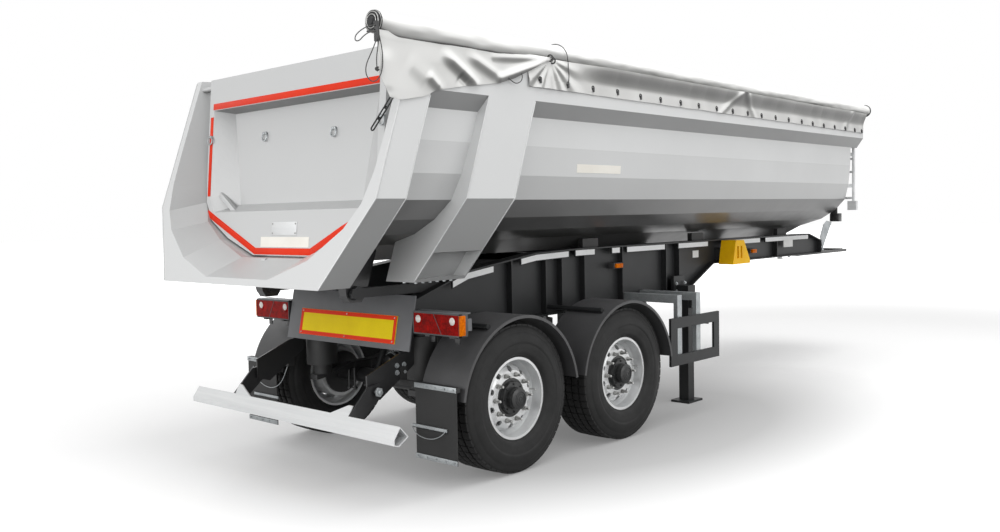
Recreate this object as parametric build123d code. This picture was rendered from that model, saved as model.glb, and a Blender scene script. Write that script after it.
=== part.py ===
from build123d import *
import os
from math import atan2, cos, degrees, hypot, pi, radians, sin

# Two-axle half-pipe tipper semi-trailer, in millimetres.
# X runs forward from the rear axle, Y to the left, Z up from the ground.
# Every piece is drawn there, and saved with the middle of the whole at X = 0.

# Overall places along the trailer
AXLE_SPACING = 1310
LIP_X = -1530
FRONT_WALL_X = 5780
COUPLER_FRONT_X = 7150
MODEL_ORIGIN_X = (LIP_X + COUPLER_FRONT_X) / 2
HALF_WIDTH = 1275
RUNNING_GAP = 6
SEAT_GAP = 0.3

# Wheels: 385/65 R22.5 tyres on 11.75 inch rims, one on each side of an axle
TYRE_RADIUS = 536
TYRE_WIDTH = 385
TYRE_SIDE_DEPTH = 42
RIM_RADIUS = 286
RIM_WIDTH = 298
RIM_FLANGE_HEIGHT = 13
RIM_THICKNESS = 9
RIM_WELL_RADIUS = 256
WHEEL_Y = 1020
DISC_OFFSET = 96
DISC_THICKNESS = 14
HAND_HOLE_RADIUS = 21
HAND_HOLE_CIRCLE = 206
HAND_HOLES = 10
STUD_CIRCLE_RADIUS = 167.5
STUD_RADIUS = 11
STUD_LENGTH = 34
HUB_RADIUS = 118
HUB_CAP_RADIUS = 76
HUB_REACH = 92
DRUM_RADIUS = 208
DRUM_LENGTH = 190
AXLE_RADIUS = 63
AXLE_CLEARANCE = 0.1
AXLE_END_GAP = 3
AXLE_Z = TYRE_RADIUS
AXLES = (0, AXLE_SPACING)
SIDES = (("right", -1), ("left", 1))


def inset(section):
    """Places given by how far they lie inside the body's side, as half widths."""
    return tuple((HALF_WIDTH - depth, height) for depth, height in section)


# Slanted rear: the rear frame and the rib are bands that lean forward together
SLANT = 0.345
BAND_FOOT_Z = 1405
BAND_FOOT_HALF = HALF_WIDTH - 335
RIB_FOOT_EXTRA = 18
BAND_KNEE_Z = 1955
REAR_BAND_WIDTH = 243
RIB_FOOT_X = -760
RIB_WIDTH = 473
REAR_TOP_Z = 2940
SPOUT_FLOOR_Z = 1452
SPOUT_INSET = 65
# Open box in the rib's foot, one side: inset, height
RIB_BOX = inset(((165, 1605), (345, 1590), (425, 1425), (275, 1425)))
RIB_BOX_WALL = 10
RIB_KEEP_Y = 670
TRIM_LENGTH = 4000
TRIM_HALF = 2000

# Tub section, one side, from the keel up. The keel clears the frame, and the wall keeps its inset from the side
OUTER_SECTION = ((370, 1535), (600, 1650), (850, 1725)) + inset((
    (259, 1823), (140, 1950), (100, 2120), (80, 2330), (75, 2535),
))
INNER_SECTION = ((370, 1575), (720, 1700)) + inset((
    (315, 1835), (225, 1985), (219, 2120), (215, 2330), (215, 2535),
))
PAN_OUTER_COUNT = 5
PAN_INNER_COUNT = 4
RAIL_TOP_Z = 2900
RAIL_LOW_Z = 2640
RAIL_FRONT_X = 5950
FRONT_WALL_THICKNESS = 60
FRONT_CAP_X = 5890
LADDER_Y = (HALF_WIDTH - 90, HALF_WIDTH - 425)
LADDER_STANDOFF = 100
LADDER_STILE = 40
LADDER_LOW_Z = 1890
LADDER_FIRST = 70
LADDER_STEP = 150
LADDER_STAY_Z = (2080, 2440)
LADDER_BLOCK = ((HALF_WIDTH - 150, HALF_WIDTH - 49), (1820, 1925))

# Rear opening of the spout, one side, from the floor up: half width, height
SPOUT_SECTION = ((375, SPOUT_FLOOR_Z), (752, 1580)) + inset((
    (238, 1777), (125, 1925), (75, 2120), (SPOUT_INSET, 2330), (SPOUT_INSET, 2535),
))
SPOUT_OPEN_TOP = 30

# Tipping: pivot at the rear, pushed up by a telescopic ram in front of the tub
PIVOT_X = -920
PIVOT_Z = 1330
PIVOT_Y = 500
PIVOT_PIN_RADIUS = 35
PIVOT_EAR_HALF = 40
PIVOT_EAR_RISE = 310
# Outline of a pivot ear, from its pin: reach, rise
PIVOT_EAR = (
    (-120, PIVOT_EAR_RISE), (-80, -20), (-50, -65), (50, -65), (90, -10), (200, PIVOT_EAR_RISE),
)
PIVOT_BOSS_RADIUS = 48
FORK_THICKNESS = 30
# Arm that carries the pivot pin behind each beam, in X and Z
FORK = ((-975, 1298), (-985, 1330), (-975, 1362), (-160, 1366), (-160, 1350), (-330, 1296))
RAM_FOOT_X = 6270
RAM_FOOT_Z = 1365
RAM_EYE_X = 6300
RAM_EYE_Z = 2800
RAM_STAGES = 5
RAM_TUBE_RADIUS = 105
RAM_TUBE_WALL = 8
RAM_TUBE_SHORT = 130
RAM_FOOT_WALL = 55
RAM_STAGE_STEP = 14
RAM_STAGE_RISE = 14
RAM_STAGE_GAP = 0.1
RAM_FOOT_PIN_RADIUS = 32
RAM_EYE_RADIUS = 45
RAM_EYE_HALF = 55
RAM_EAR_THICKNESS = 20

# Tailgate, hung from pins at its top
GATE_TOP_X = -1030
GATE_TOP_Z = 2930
GATE_SLANT = 0.089
GATE_DEPTH = 130
GATE_RECESS = 110
GATE_GAP = 12
GATE_HINGE_X = -985
GATE_HINGE_Z = 2870
GATE_PIN_RADIUS = 22
GATE_PIN_END_Y = HALF_WIDTH - 39
GATE_BEAM_DEPTH = 188
# Recess in the gate, one side, at its rim and at its floor
GATE_RIM = inset(((290, 2690), (290, 2020), (350, 1905)))
GATE_FLOOR = inset(((420, 2660), (529, 2060), (546, 1961)))

# Frame: two welded I-beams under the tub and a gooseneck to the kingpin
BEAM_OUTER_Y = 650
BEAM_FLANGE = 130
PLATE = 12
BEAM_TOP = ((-538, 1232), (60, 1430), (850, 1530), (1400, 1545), (5900, 1548), (6240, 1460))
BEAM_BOTTOM = ((6240, 1300), (3660, 1300), (3050, 1010), (-582, 1010))
BEAM_LOWEST_Z = 1010
BEAM_HIGHEST_Z = 1548
STIFFENER_X = (560, 980, 1190, 1500, 2060, 2780, 3010, 5080)
CROSS_MEMBER_X = (-500, 640, 1780, 2850, 4300, 5560)
CROSS_MEMBER_WIDTH = 100
CROSS_MEMBER_TOP_Z = 1500
COUPLER_REAR_X = 5650
COUPLER_HALF = 620
COUPLER_THICKNESS = 12
COUPLER_RIM = 34
KINGPIN_X = 6450
KINGPIN_RADIUS = 25.4
KINGPIN_HEAD_RADIUS = 36.5
KINGPIN_LENGTH = 84
KINGPIN_HEAD_LENGTH = 19
KINGPIN_NECK_LENGTH = 30

# Hose stand in front of the gooseneck, in X and Z
HOSE_STAND = (
    (6364, 1300), (6400, 1300), (6400, 1380), (6640, 1672), (6500, 1690), (6400, 1640), (6310, 1500), (6364, 1380),
)
HOSE_STAND_Y = -604
HOSE_STAND_THICKNESS = 8

# Pads on which the tub comes down
BODY_REST_X = (1520, 3300, 5150)
BODY_REST_LENGTH = 220
BODY_REST_Y = (560, 610)
BODY_REST_TOP = 1624

# Suspension under the beams
HANGER_FORWARD = 500
ARM_WIDTH = 90
BAG_BACK = 380
BAG_RADIUS = 125
BAG_SEAT = 62
ARM_PIVOT_Z = 700

# Landing legs
LEG_X = 2960
LEG_Y = 746
LEG_OUTER = 130
LEG_INNER = 104
LEG_WALL = 8
LEG_TOP_Z = 1130
LEG_GUIDE_TOP = LEG_TOP_Z - 200
LEG_GUIDE_LENGTH = 120
FOOT_HALF_WIDTH = 100
LEG_SLEEVE_Z = 430
FOOT_SIZE = 250
FOOT_THICKNESS = 20
LEG_SHAFT_Z = 960

# Mudguards and flaps
GUARD_RADIUS = 622
GUARD_CENTRE_X = 10
GUARD_CENTRE_Z = 512
GUARD_THICKNESS = 7
GUARD_Y = (822, 1242)
GUARD_LIP = 22
GUARD_ENDS = (9, 171)
GUARD_TUBE_RADIUS = 19
GUARD_TUBE_ANGLES = (62, 118)
FLAP_X = -652
FLAP_Y = (828, 1226)
FLAP_Z = (190, 712)
FLAP_THICKNESS = 6

# Rear end
PANEL_TOP = (-537, 1290)
PANEL_LOW = (-613, 905)
PANEL_HALF = 722
PANEL_SKIN = 10
BAG_CLEAR_X = -514
BRACKET_TOP_Z = 1180
BRACKET_FRONT_X = -370
BRACKET_STEP_Z = 1030
BRACKET_FOOT_Z = 800
MARKER_Z = (945, 1142)
MARKER_HALF = 565
LAMP_X = -502
LAMP_STAY_X = -562
LAMP_Y = (745, 1190)
LAMP_Z = (1040, 1182)
LAMP_DEPTH = 78
BAR_PIN_X = -896
BAR_PIN_Z = 665
BAR_PIN_Y = 684
BAR_HALF = 1200
# Underrun bar section, in X and Z
BAR_SECTION = ((-1129, 535), (-1060, 461), (-1142, 410), (-1184, 423), (-1181, 463))
BAR_WALL = 6
BAR_GUSSET_Y = (470, 640, 683)
BAR_ARM_THICKNESS = 14

# Brake air tanks
TANK_Z = 1130
TANK_RADIUS = 125
TANK_X = (2120, 2760)

# Side guards
SIDE_GUARD_X = (1956, 2768)
SIDE_GUARD_Z = (505, 922)
SIDE_GUARD_BAR = 92
SIDE_GUARD_Y = 1215
SIDE_GUARD_THICKNESS = 22
SIDE_BRACKET_X = (2130, 2440)
SIDE_BRACKET_SIZE = 70
SIDE_BRACKET_Z = 1115

# Wheel chocks
CHOCK_X = (3735, 4095)
CHOCK_Z = (1290, 1535)
CHOCK_Y = 662
CHOCK_WIDTH = 165
CHOCK_HOLDER_Z = (1330, 1450)

# Tarp, rolled on the right rail
ROLL_RADIUS = 66
ROLL_Y = -1228
ROLL_CRADLE_X = (-640, 560, 2860, 4600, 5900)
ROLL_ENDS = ((-1310, REAR_TOP_Z + ROLL_RADIUS + 3.5), (6120, RAIL_TOP_Z + ROLL_RADIUS + SEAT_GAP))
SKIRT = ((60, 2950), (60, 2737), (5930, 2700), (5930, 2916))
SKIRT_THICKNESS = 9
# Loose flap at the rear right corner, in X and Z
DRAPE = (
    (-1285, 2955), (-1300, 2690), (-1225, 2560), (-1130, 2552), (-890, 2598),
    (-560, 2676), (-290, 2722), (-60, 2800), (50, 2955),
)
DRAPE_THICKNESS = 14


def block(x, y, z):
    """A box between a low and a high value on each axis."""
    centre = Pos((x[0] + x[1]) / 2, (y[0] + y[1]) / 2, (z[0] + z[1]) / 2)
    return centre * Box(x[1] - x[0], y[1] - y[0], z[1] - z[0])


def along_y(points, y_low, y_high):
    """An outline in X and Z, given its thickness along Y."""
    outline = Polyline(*[(x, y_low, z) for x, z in points], close=True)
    return extrude(make_face(outline), amount=y_high - y_low, dir=(0, 1, 0))


def along_x(points, x_low, x_high, slant=0.0, foot_z=0.0):
    """An outline in Y and Z, given its length along X and leaning by slant above foot_z."""
    outline = Polyline(*[(x_low + slant * (z - foot_z), y, z) for y, z in points], close=True)
    return extrude(make_face(outline), amount=x_high - x_low, dir=(1, 0, 0))


def rod_y(x, z, radius, y_low, y_high):
    """A round bar across the trailer."""
    return Pos(x, (y_low + y_high) / 2, z) * Rot(90, 0, 0) * Cylinder(radius, y_high - y_low)


def rod_x(y, z, radius, x_low, x_high):
    """A round bar along the trailer."""
    return Pos((x_low + x_high) / 2, y, z) * Rot(0, 90, 0) * Cylinder(radius, x_high - x_low)


def rod_between(start, end, radius):
    """A round bar from one point to another."""
    start = Vector(*start)
    run = Vector(*end) - start
    middle = start + run / 2
    return Plane(origin=middle, z_dir=run).location * Cylinder(radius, run.length)


def rod_z(x, y, radius, z_low, z_high):
    """An upright round bar."""
    return Pos(x, y, (z_low + z_high) / 2) * Cylinder(radius, z_high - z_low)


def mirrored(half):
    """Both sides of an outline given as one side's half widths."""
    return [(-y, z) for y, z in reversed(half)] + list(half)


def both_sides(solid):
    """A piece and its twin on the other side of the trailer."""
    return [solid, mirror(solid, Plane.XZ)]


def save(node, *pieces):
    """Write the solids of one node, moved so that the whole is centred on X = 0."""
    solids = [solid for piece in pieces for solid in piece.solids()]
    moved = [Pos(-MODEL_ORIGIN_X, 0, 0) * solid for solid in solids]
    export_step(moved[0] if len(moved) == 1 else Compound(children=moved), f"parts/{node}.step")


def spun(points, y, side):
    """A ring about a wheel's axis: points are (outward offset, radius)."""
    profile = Polyline(*[(radius, side * (y + offset), 0) for offset, radius in points], close=True)
    return revolve(make_face(profile), Axis.Y)


def tyre(side):
    half = TYRE_WIDTH / 2
    bead = RIM_WIDTH / 2 - RIM_THICKNESS
    seat = RIM_RADIUS + SEAT_GAP
    shoulder = TYRE_RADIUS - TYRE_SIDE_DEPTH
    points = [
        (-bead, seat), (-bead, seat + 30), (-half + 6, seat + 70), (-half, seat + 120),
        (-half + 8, shoulder), (-half + 34, TYRE_RADIUS - 8), (-half + 70, TYRE_RADIUS),
    ]
    points += [(-offset, radius) for offset, radius in reversed(points)]
    return spun(points, WHEEL_Y, side)


def wheel(side):
    """Rim, disc, studs, hub and drum, all turning together."""
    half = RIM_WIDTH / 2
    flange = RIM_RADIUS + RIM_FLANGE_HEIGHT
    wall = RIM_THICKNESS
    rim = spun([
        (-half, flange), (-half + wall, flange), (-half + wall, RIM_RADIUS), (-60, RIM_RADIUS),
        (-40, RIM_WELL_RADIUS), (10, RIM_WELL_RADIUS), (60, RIM_RADIUS - 4), (half - wall, RIM_RADIUS),
        (half - wall, flange), (half, flange), (half, RIM_RADIUS - wall), (64, RIM_RADIUS - 4 - wall),
        (14, RIM_WELL_RADIUS - wall), (-44, RIM_WELL_RADIUS - wall), (-64, RIM_RADIUS - wall),
        (-half, RIM_RADIUS - wall),
    ], WHEEL_Y, side)
    well = RIM_WELL_RADIUS - wall / 2
    face = DISC_OFFSET
    disc = spun([
        (face - DISC_THICKNESS, HUB_CAP_RADIUS), (face, HUB_CAP_RADIUS), (face, 196), (face - 20, 222),
        (8, well), (-14, well), (face - 20 - DISC_THICKNESS, 214),
        (face - DISC_THICKNESS, 188),
    ], WHEEL_Y, side)
    hole_y = side * (WHEEL_Y + face)
    hole = rod_y(0, 0, HAND_HOLE_RADIUS, hole_y - 60, hole_y + 60)
    for step in range(HAND_HOLES):
        turn = Rot(0, 360 * (step + 0.5) / HAND_HOLES, 0)
        disc -= turn * Pos(HAND_HOLE_CIRCLE, 0, 0) * hole
    bore = AXLE_RADIUS + AXLE_CLEARANCE
    drum_in = -DRUM_LENGTH
    hub = spun([
        (drum_in, bore), (drum_in, DRUM_RADIUS), (-20, DRUM_RADIUS), (0, 150),
        (face - DISC_THICKNESS, 150), (face - DISC_THICKNESS, HUB_CAP_RADIUS + 6),
        (face, HUB_CAP_RADIUS + 6), (face, HUB_RADIUS), (face + 26, HUB_RADIUS - 8),
        (face + 30, HUB_CAP_RADIUS), (face + HUB_REACH - 12, HUB_CAP_RADIUS),
        (face + HUB_REACH, HUB_CAP_RADIUS - 18), (face + HUB_REACH, 0), (-10, 0), (-10, bore),
    ], WHEEL_Y, side)
    return rim + disc + hub


def wheels():
    for axle_name, x in zip(("rear", "front"), AXLES):
        for side_name, side in SIDES:
            place = Pos(x, 0, AXLE_Z)
            save(f"tyre_{axle_name}_{side_name}", place * tyre(side))
            save(f"wheel_{axle_name}_{side_name}", place * wheel(side))


def axles():
    """A round axle beam with flanged brake spiders, passing under both frame beams."""
    end = WHEEL_Y - 10 - AXLE_END_GAP
    spider_y = WHEEL_Y - DRUM_LENGTH - RUNNING_GAP
    pieces = []
    for x in AXLES:
        beam = rod_y(x, AXLE_Z, AXLE_RADIUS, -end, end)
        for side in (-1, 1):
            inner, outer = sorted((side * (spider_y - 12), side * spider_y))
            beam += rod_y(x, AXLE_Z, DRUM_RADIUS - 30, inner, outer)
        pieces.append(beam)
    save("axle_beams", *pieces)


def beam_web_y():
    return BEAM_OUTER_Y - BEAM_FLANGE / 2


def inside_outline(points, amount):
    """An X-Z outline shrunk by a plate's thickness."""
    face = make_face(Polyline(*[(x, 0, z) for x, z in points], close=True))
    return offset(face, amount=-amount, kind=Kind.INTERSECTION)


def frame_beams():
    """I-beams with edge flanges all round, a thin web and upright stiffeners."""
    outline = list(BEAM_TOP) + list(BEAM_BOTTOM)
    inner_y = BEAM_OUTER_Y - BEAM_FLANGE
    web_y = beam_web_y()
    solid = along_y(outline, inner_y, BEAM_OUTER_Y)
    hollow = inside_outline(outline, PLATE)
    pocket = extrude(hollow, amount=BEAM_FLANGE, dir=(0, 1, 0))
    web = along_y(outline, web_y - PLATE / 2, web_y + PLATE / 2)
    beam = (solid - Pos(0, inner_y, 0) * pocket) + web
    for x in STIFFENER_X:
        plate = block((x - PLATE / 2, x + PLATE / 2), (inner_y + 4, BEAM_OUTER_Y - 4), (BEAM_LOWEST_Z, BEAM_HIGHEST_Z))
        beam += plate & solid
    holder_y = (web_y, CHOCK_Y - SEAT_GAP)
    beam += block((CHOCK_X[0] + 40, CHOCK_X[1] - 60), holder_y, CHOCK_HOLDER_Z)
    save("frame_beams", *both_sides(beam + pivot_fork()))


def pivot_fork():
    """The left beam's rear arm, with the pin on which the tub tips."""
    plate_y = (PIVOT_Y + PIVOT_EAR_HALF + RUNNING_GAP, PIVOT_Y + PIVOT_EAR_HALF + RUNNING_GAP + FORK_THICKNESS)
    fork = along_y(FORK, *plate_y) + rod_y(PIVOT_X, PIVOT_Z, PIVOT_BOSS_RADIUS, *plate_y)
    return fork + rod_y(PIVOT_X, PIVOT_Z, PIVOT_PIN_RADIUS, PIVOT_Y - PIVOT_EAR_HALF - 25, plate_y[1])


def beam_top_at(x):
    """Height of the beams' top edge."""
    for (x0, z0), (x1, z1) in zip(BEAM_TOP, BEAM_TOP[1:]):
        if x0 <= x <= x1:
            return z0 + (z1 - z0) * (x - x0) / (x1 - x0)
    return BEAM_TOP[-1][1]


def beam_bottom_at(x):
    """Height of the beams' bottom edge."""
    for (x0, z0), (x1, z1) in zip(BEAM_BOTTOM, BEAM_BOTTOM[1:]):
        if x1 <= x <= x0:
            return z0 + (z1 - z0) * (x - x0) / (x1 - x0)
    return BEAM_BOTTOM[-1][1]


def cross_members():
    """Channel-shaped members between the beams' webs, the front one with the ram's foot ears."""
    half = beam_web_y() - PLATE / 2
    pieces = []
    for x in CROSS_MEMBER_X:
        low = max(beam_bottom_at(x), beam_bottom_at(x + CROSS_MEMBER_WIDTH)) + 20
        high = min(beam_top_at(x), beam_top_at(x + CROSS_MEMBER_WIDTH), CROSS_MEMBER_TOP_Z) - 20
        span = (x, x + CROSS_MEMBER_WIDTH)
        member = block(span, (-half, half), (low, high))
        inside = (x + PLATE, x + CROSS_MEMBER_WIDTH + 1)
        member -= block(inside, (-half - 1, half + 1), (low + PLATE, high - PLATE))
        pieces.append(member)
    floor = BEAM_BOTTOM[0][1] + PLATE
    base_x = (RAM_FOOT_X - 260, RAM_FOOT_X - 120)
    base = block(base_x, (-half, half), (floor, floor + 28))
    for side in (-1, 1):
        y = sorted((side * (RAM_TUBE_RADIUS + RUNNING_GAP), side * (RAM_TUBE_RADIUS + 36)))
        base += along_y([
            (base_x[0], floor + 28), (base_x[0], floor), (base_x[1], floor), (RAM_FOOT_X + 55, floor + 10),
            (RAM_FOOT_X + 55, RAM_FOOT_Z + 50), (RAM_FOOT_X - 60, RAM_FOOT_Z + 60),
        ], y[0], y[1])
    hole = rod_y(RAM_FOOT_X, RAM_FOOT_Z, RAM_FOOT_PIN_RADIUS + AXLE_CLEARANCE, -half, half)
    pieces.append(base - hole)
    save("cross_members", *pieces)


def coupler():
    """Rubbing plate with turned edges under the gooseneck, and its kingpin."""
    top = beam_bottom_at(COUPLER_REAR_X)
    low = top - COUPLER_THICKNESS
    lead = 90
    outline = Polyline(
        (COUPLER_REAR_X, -COUPLER_HALF), (COUPLER_FRONT_X - lead, -COUPLER_HALF),
        (COUPLER_FRONT_X, -COUPLER_HALF + lead), (COUPLER_FRONT_X, COUPLER_HALF - lead),
        (COUPLER_FRONT_X - lead, COUPLER_HALF), (COUPLER_REAR_X, COUPLER_HALF), close=True,
    )
    plate = Pos(0, 0, low) * extrude(make_face(outline), amount=COUPLER_THICKNESS)
    beam_front = BEAM_TOP[-1][0]
    rim_x = (beam_front + 4, COUPLER_FRONT_X - lead)
    for side in (-1, 1):
        y = sorted((side * COUPLER_HALF, side * (COUPLER_HALF - PLATE)))
        plate += block(rim_x, y, (low, low + COUPLER_RIM))
    plate += block(
        (COUPLER_FRONT_X - PLATE, COUPLER_FRONT_X), (lead - COUPLER_HALF, COUPLER_HALF - lead),
        (low, low + COUPLER_RIM),
    )
    save("coupler_plate", plate)
    head_z = low - KINGPIN_LENGTH
    neck_z = head_z + KINGPIN_HEAD_LENGTH
    pin = rod_z(KINGPIN_X, 0, KINGPIN_HEAD_RADIUS, head_z, neck_z)
    pin += rod_z(KINGPIN_X, 0, KINGPIN_RADIUS, head_z, low)
    pin += rod_z(KINGPIN_X, 0, KINGPIN_HEAD_RADIUS, neck_z + KINGPIN_NECK_LENGTH, low)
    save("kingpin", pin)


def hose_stand():
    """A tapered upright for the brake hoses, on the coupler plate."""
    floor = beam_bottom_at(COUPLER_REAR_X) + SEAT_GAP
    outline = [(x, max(z, floor)) for x, z in HOSE_STAND]
    save("hose_stand", along_y(outline, HOSE_STAND_Y, HOSE_STAND_Y + HOSE_STAND_THICKNESS))


def body_rests():
    """Rubber pads on the beams, just below the tub's belly."""
    pads = []
    for x in BODY_REST_X:
        low = beam_top_at(x) + 2 * SEAT_GAP
        pads += both_sides(block((x, x + BODY_REST_LENGTH), BODY_REST_Y, (low, BODY_REST_TOP)))
    save("body_rests", *pads)


def suspension():
    """Hanger brackets, trailing arms and air springs under each beam."""
    web_y = beam_web_y()
    arms = []
    bags = []
    for x in AXLES:
        pivot_x = x + HANGER_FORWARD
        for side in (-1, 1):
            y = (side * web_y - ARM_WIDTH / 2, side * web_y + ARM_WIDTH / 2)
            floor = beam_bottom_at(pivot_x)
            hanger = along_y([
                (pivot_x - 120, floor), (pivot_x + 110, floor), (pivot_x + 55, ARM_PIVOT_Z - 60),
                (pivot_x - 55, ARM_PIVOT_Z - 60),
            ], y[0] - 22, y[1] + 22)
            arm = along_y([
                (pivot_x + 40, ARM_PIVOT_Z + 35), (pivot_x + 40, ARM_PIVOT_Z - 40),
                (x + 130, AXLE_Z + AXLE_RADIUS + 4), (x - 120, AXLE_Z + AXLE_RADIUS + 4),
                (x - BAG_BACK - 90, AXLE_Z + 20), (x - BAG_BACK - 90, AXLE_Z + BAG_SEAT),
                (x - BAG_BACK + 90, AXLE_Z + BAG_SEAT), (x - 110, AXLE_Z + AXLE_RADIUS + 60),
                (x + 120, AXLE_Z + AXLE_RADIUS + 62),
            ], y[0], y[1])
            saddle = block((x - 75, x + 75), y, (AXLE_Z, AXLE_Z + AXLE_RADIUS + 30))
            saddle -= rod_y(x, AXLE_Z, AXLE_RADIUS, y[0] - 1, y[1] + 1)
            arms.append(hanger + arm + saddle)
            bag_x = x - BAG_BACK
            top = beam_bottom_at(bag_x)
            low = AXLE_Z + BAG_SEAT
            bag = rod_z(bag_x, side * web_y, BAG_RADIUS * 0.6, low, low + 90)
            bag += rod_z(bag_x, side * web_y, BAG_RADIUS, low + 80, top - 20)
            bag += rod_z(bag_x, side * web_y, BAG_RADIUS * 0.7, top - 30, top)
            bags.append(bag)
    save("suspension_arms", *arms)
    save("air_springs", *bags)


def landing_legs():
    """Square sleeves on the beams, and the inner legs that stand on the ground."""
    sleeves = []
    feet = []
    half = LEG_OUTER / 2
    inner = LEG_INNER / 2
    for side in (-1, 1):
        y = side * LEG_Y
        sleeve = block((LEG_X - half, LEG_X + half), (y - half, y + half), (LEG_SLEEVE_Z, LEG_TOP_Z))
        bore = half - LEG_WALL
        sleeve -= block((LEG_X - bore, LEG_X + bore), (y - bore, y + bore), (LEG_SLEEVE_Z - 1, LEG_TOP_Z - 10))
        pad_y = sorted((side * BEAM_OUTER_Y, side * (LEG_Y - half)))
        sleeve += block((LEG_X - 110, LEG_X + 80), pad_y, (BEAM_LOWEST_Z, LEG_TOP_Z + 90))
        sleeves.append(sleeve)
        leg = block((LEG_X - inner, LEG_X + inner), (y - inner, y + inner), (FOOT_THICKNESS, LEG_GUIDE_TOP))
        hole = inner - LEG_WALL
        leg -= block((LEG_X - hole, LEG_X + hole), (y - hole, y + hole), (FOOT_THICKNESS + 60, LEG_TOP_Z))
        guide = block((LEG_X - bore, LEG_X + bore), (y - bore, y + bore),
                      (LEG_GUIDE_TOP - LEG_GUIDE_LENGTH, LEG_GUIDE_TOP))
        leg += guide - block((LEG_X - hole, LEG_X + hole), (y - hole, y + hole), (0, LEG_TOP_Z))
        foot = block((LEG_X - FOOT_SIZE / 2, LEG_X + FOOT_SIZE / 2), (y - FOOT_HALF_WIDTH, y + FOOT_HALF_WIDTH),
                     (0, FOOT_THICKNESS))
        feet.append(leg + foot)
    shaft_y = LEG_Y - half
    shaft = rod_y(LEG_X, LEG_SHAFT_Z, 14, -shaft_y, shaft_y)
    save("landing_sleeves", sleeves[0] + sleeves[1] + shaft)
    save("landing_feet", *feet)


def mudguards():
    """Curved guards over each wheel and the tubes that carry them from the beams."""
    guards = []
    tubes = []
    low_y, high_y = GUARD_Y
    for x in AXLES:
        centre = (x + GUARD_CENTRE_X, GUARD_CENTRE_Z)
        shell = guard_arc(centre, GUARD_RADIUS, GUARD_THICKNESS, low_y, high_y)
        shell += guard_arc(centre, GUARD_RADIUS, GUARD_LIP, high_y - 8, high_y)
        guards += both_sides(shell)
        for angle in GUARD_TUBE_ANGLES:
            reach = GUARD_RADIUS + GUARD_TUBE_RADIUS + SEAT_GAP
            tube_x = centre[0] + reach * cos(radians(angle))
            tube_z = centre[1] + reach * sin(radians(angle))
            tube = rod_y(tube_x, tube_z, GUARD_TUBE_RADIUS, beam_web_y() + PLATE / 2, high_y - 60)
            tubes += both_sides(tube)
    save("mudguards", *guards)
    save("mudguard_tubes", *tubes)


def guard_arc(centre, radius, depth, y_low, y_high):
    """A stretch of ring about a wheel, between the guard's end angles."""
    start, end = (radians(angle) for angle in GUARD_ENDS)
    middle = (start + end) / 2

    def spot(reach, angle):
        return (centre[0] + reach * cos(angle), y_low, centre[1] + reach * sin(angle))

    outer = ThreePointArc(spot(radius, start), spot(radius, middle), spot(radius, end))
    low = radius - depth
    inner = ThreePointArc(spot(low, end), spot(low, middle), spot(low, start))
    sides = [Line(spot(radius, end), spot(low, end)), Line(spot(low, start), spot(radius, start))]
    return extrude(make_face([outer, sides[0], inner, sides[1]]), amount=y_high - y_low, dir=(0, 1, 0))


def mudflaps():
    """Rubber flaps behind the rear wheels, with a clamp strip above and below."""
    x = (FLAP_X - FLAP_THICKNESS, FLAP_X)
    low, high = FLAP_Z
    flap = block(x, FLAP_Y, FLAP_Z)
    for z in ((low, low + 34), (high - 34, high)):
        flap += block((x[0] - 5, x[0]), (FLAP_Y[0] - 4, FLAP_Y[1] + 4), z)
    inner = BEAM_OUTER_Y + 2 * SEAT_GAP + BAR_ARM_THICKNESS
    carrier = block((FLAP_X, FLAP_X + 30), (inner, FLAP_Y[1]), (high - 34, high))
    carrier += block((FLAP_X, FLAP_X + 60), (inner, inner + 10), (high - 34, high + 90))
    save("mudflaps", *both_sides(flap + carrier))


def panel_x(z):
    """The rear panel's outer face leans forward as it goes up."""
    (top_x, top_z), (low_x, low_z) = PANEL_TOP, PANEL_LOW
    return low_x + (top_x - low_x) * (z - low_z) / (top_z - low_z)


def beam_end_x(z):
    """The beams end against the inside of the rear panel."""
    return panel_x(z) + PANEL_SKIN


def rear_end():
    """Leaning rear panel, its marker plate, and the lamps beside it."""
    (top_x, top_z), (low_x, low_z) = PANEL_TOP, PANEL_LOW
    skin = PANEL_SKIN - SEAT_GAP
    outline = [(top_x, top_z), (low_x, low_z), (low_x + skin, low_z), (top_x + skin, top_z)]
    panel = along_y(outline, -PANEL_HALF, PANEL_HALF)
    depth = (LAMP_X + SEAT_GAP, LAMP_X + 42)
    height = (LAMP_Z[0] + 30, LAMP_Z[1] - 30)
    carrier = block(depth, (PANEL_HALF - 50, LAMP_Y[1]), height)
    carrier += block((LAMP_STAY_X, depth[1]), (PANEL_HALF - 50, PANEL_HALF), height)
    carrier += block(depth, (PANEL_HALF - 20, PANEL_HALF + 60), (height[0], LAMP_Z[1] + 10))
    shelf_z = (LAMP_Z[1] + SEAT_GAP, LAMP_Z[1] + 10)
    carrier += block((LAMP_X - LAMP_DEPTH, depth[1]), (LAMP_Y[0] + 10, LAMP_Y[1] - 10), shelf_z)
    panel += both_sides(carrier)
    save("rear_panel", panel)
    low, high = MARKER_Z
    plate = along_y([
        (panel_x(high), high), (panel_x(low), low), (panel_x(low) - 6, low), (panel_x(high) - 6, high),
    ], -MARKER_HALF, MARKER_HALF)
    save("marker_plate", plate)
    lamp = block((LAMP_X - LAMP_DEPTH, LAMP_X), LAMP_Y, LAMP_Z)
    save("rear_lamps", *both_sides(fillet(lamp.edges().filter_by(Axis.X), 10)))


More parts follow.
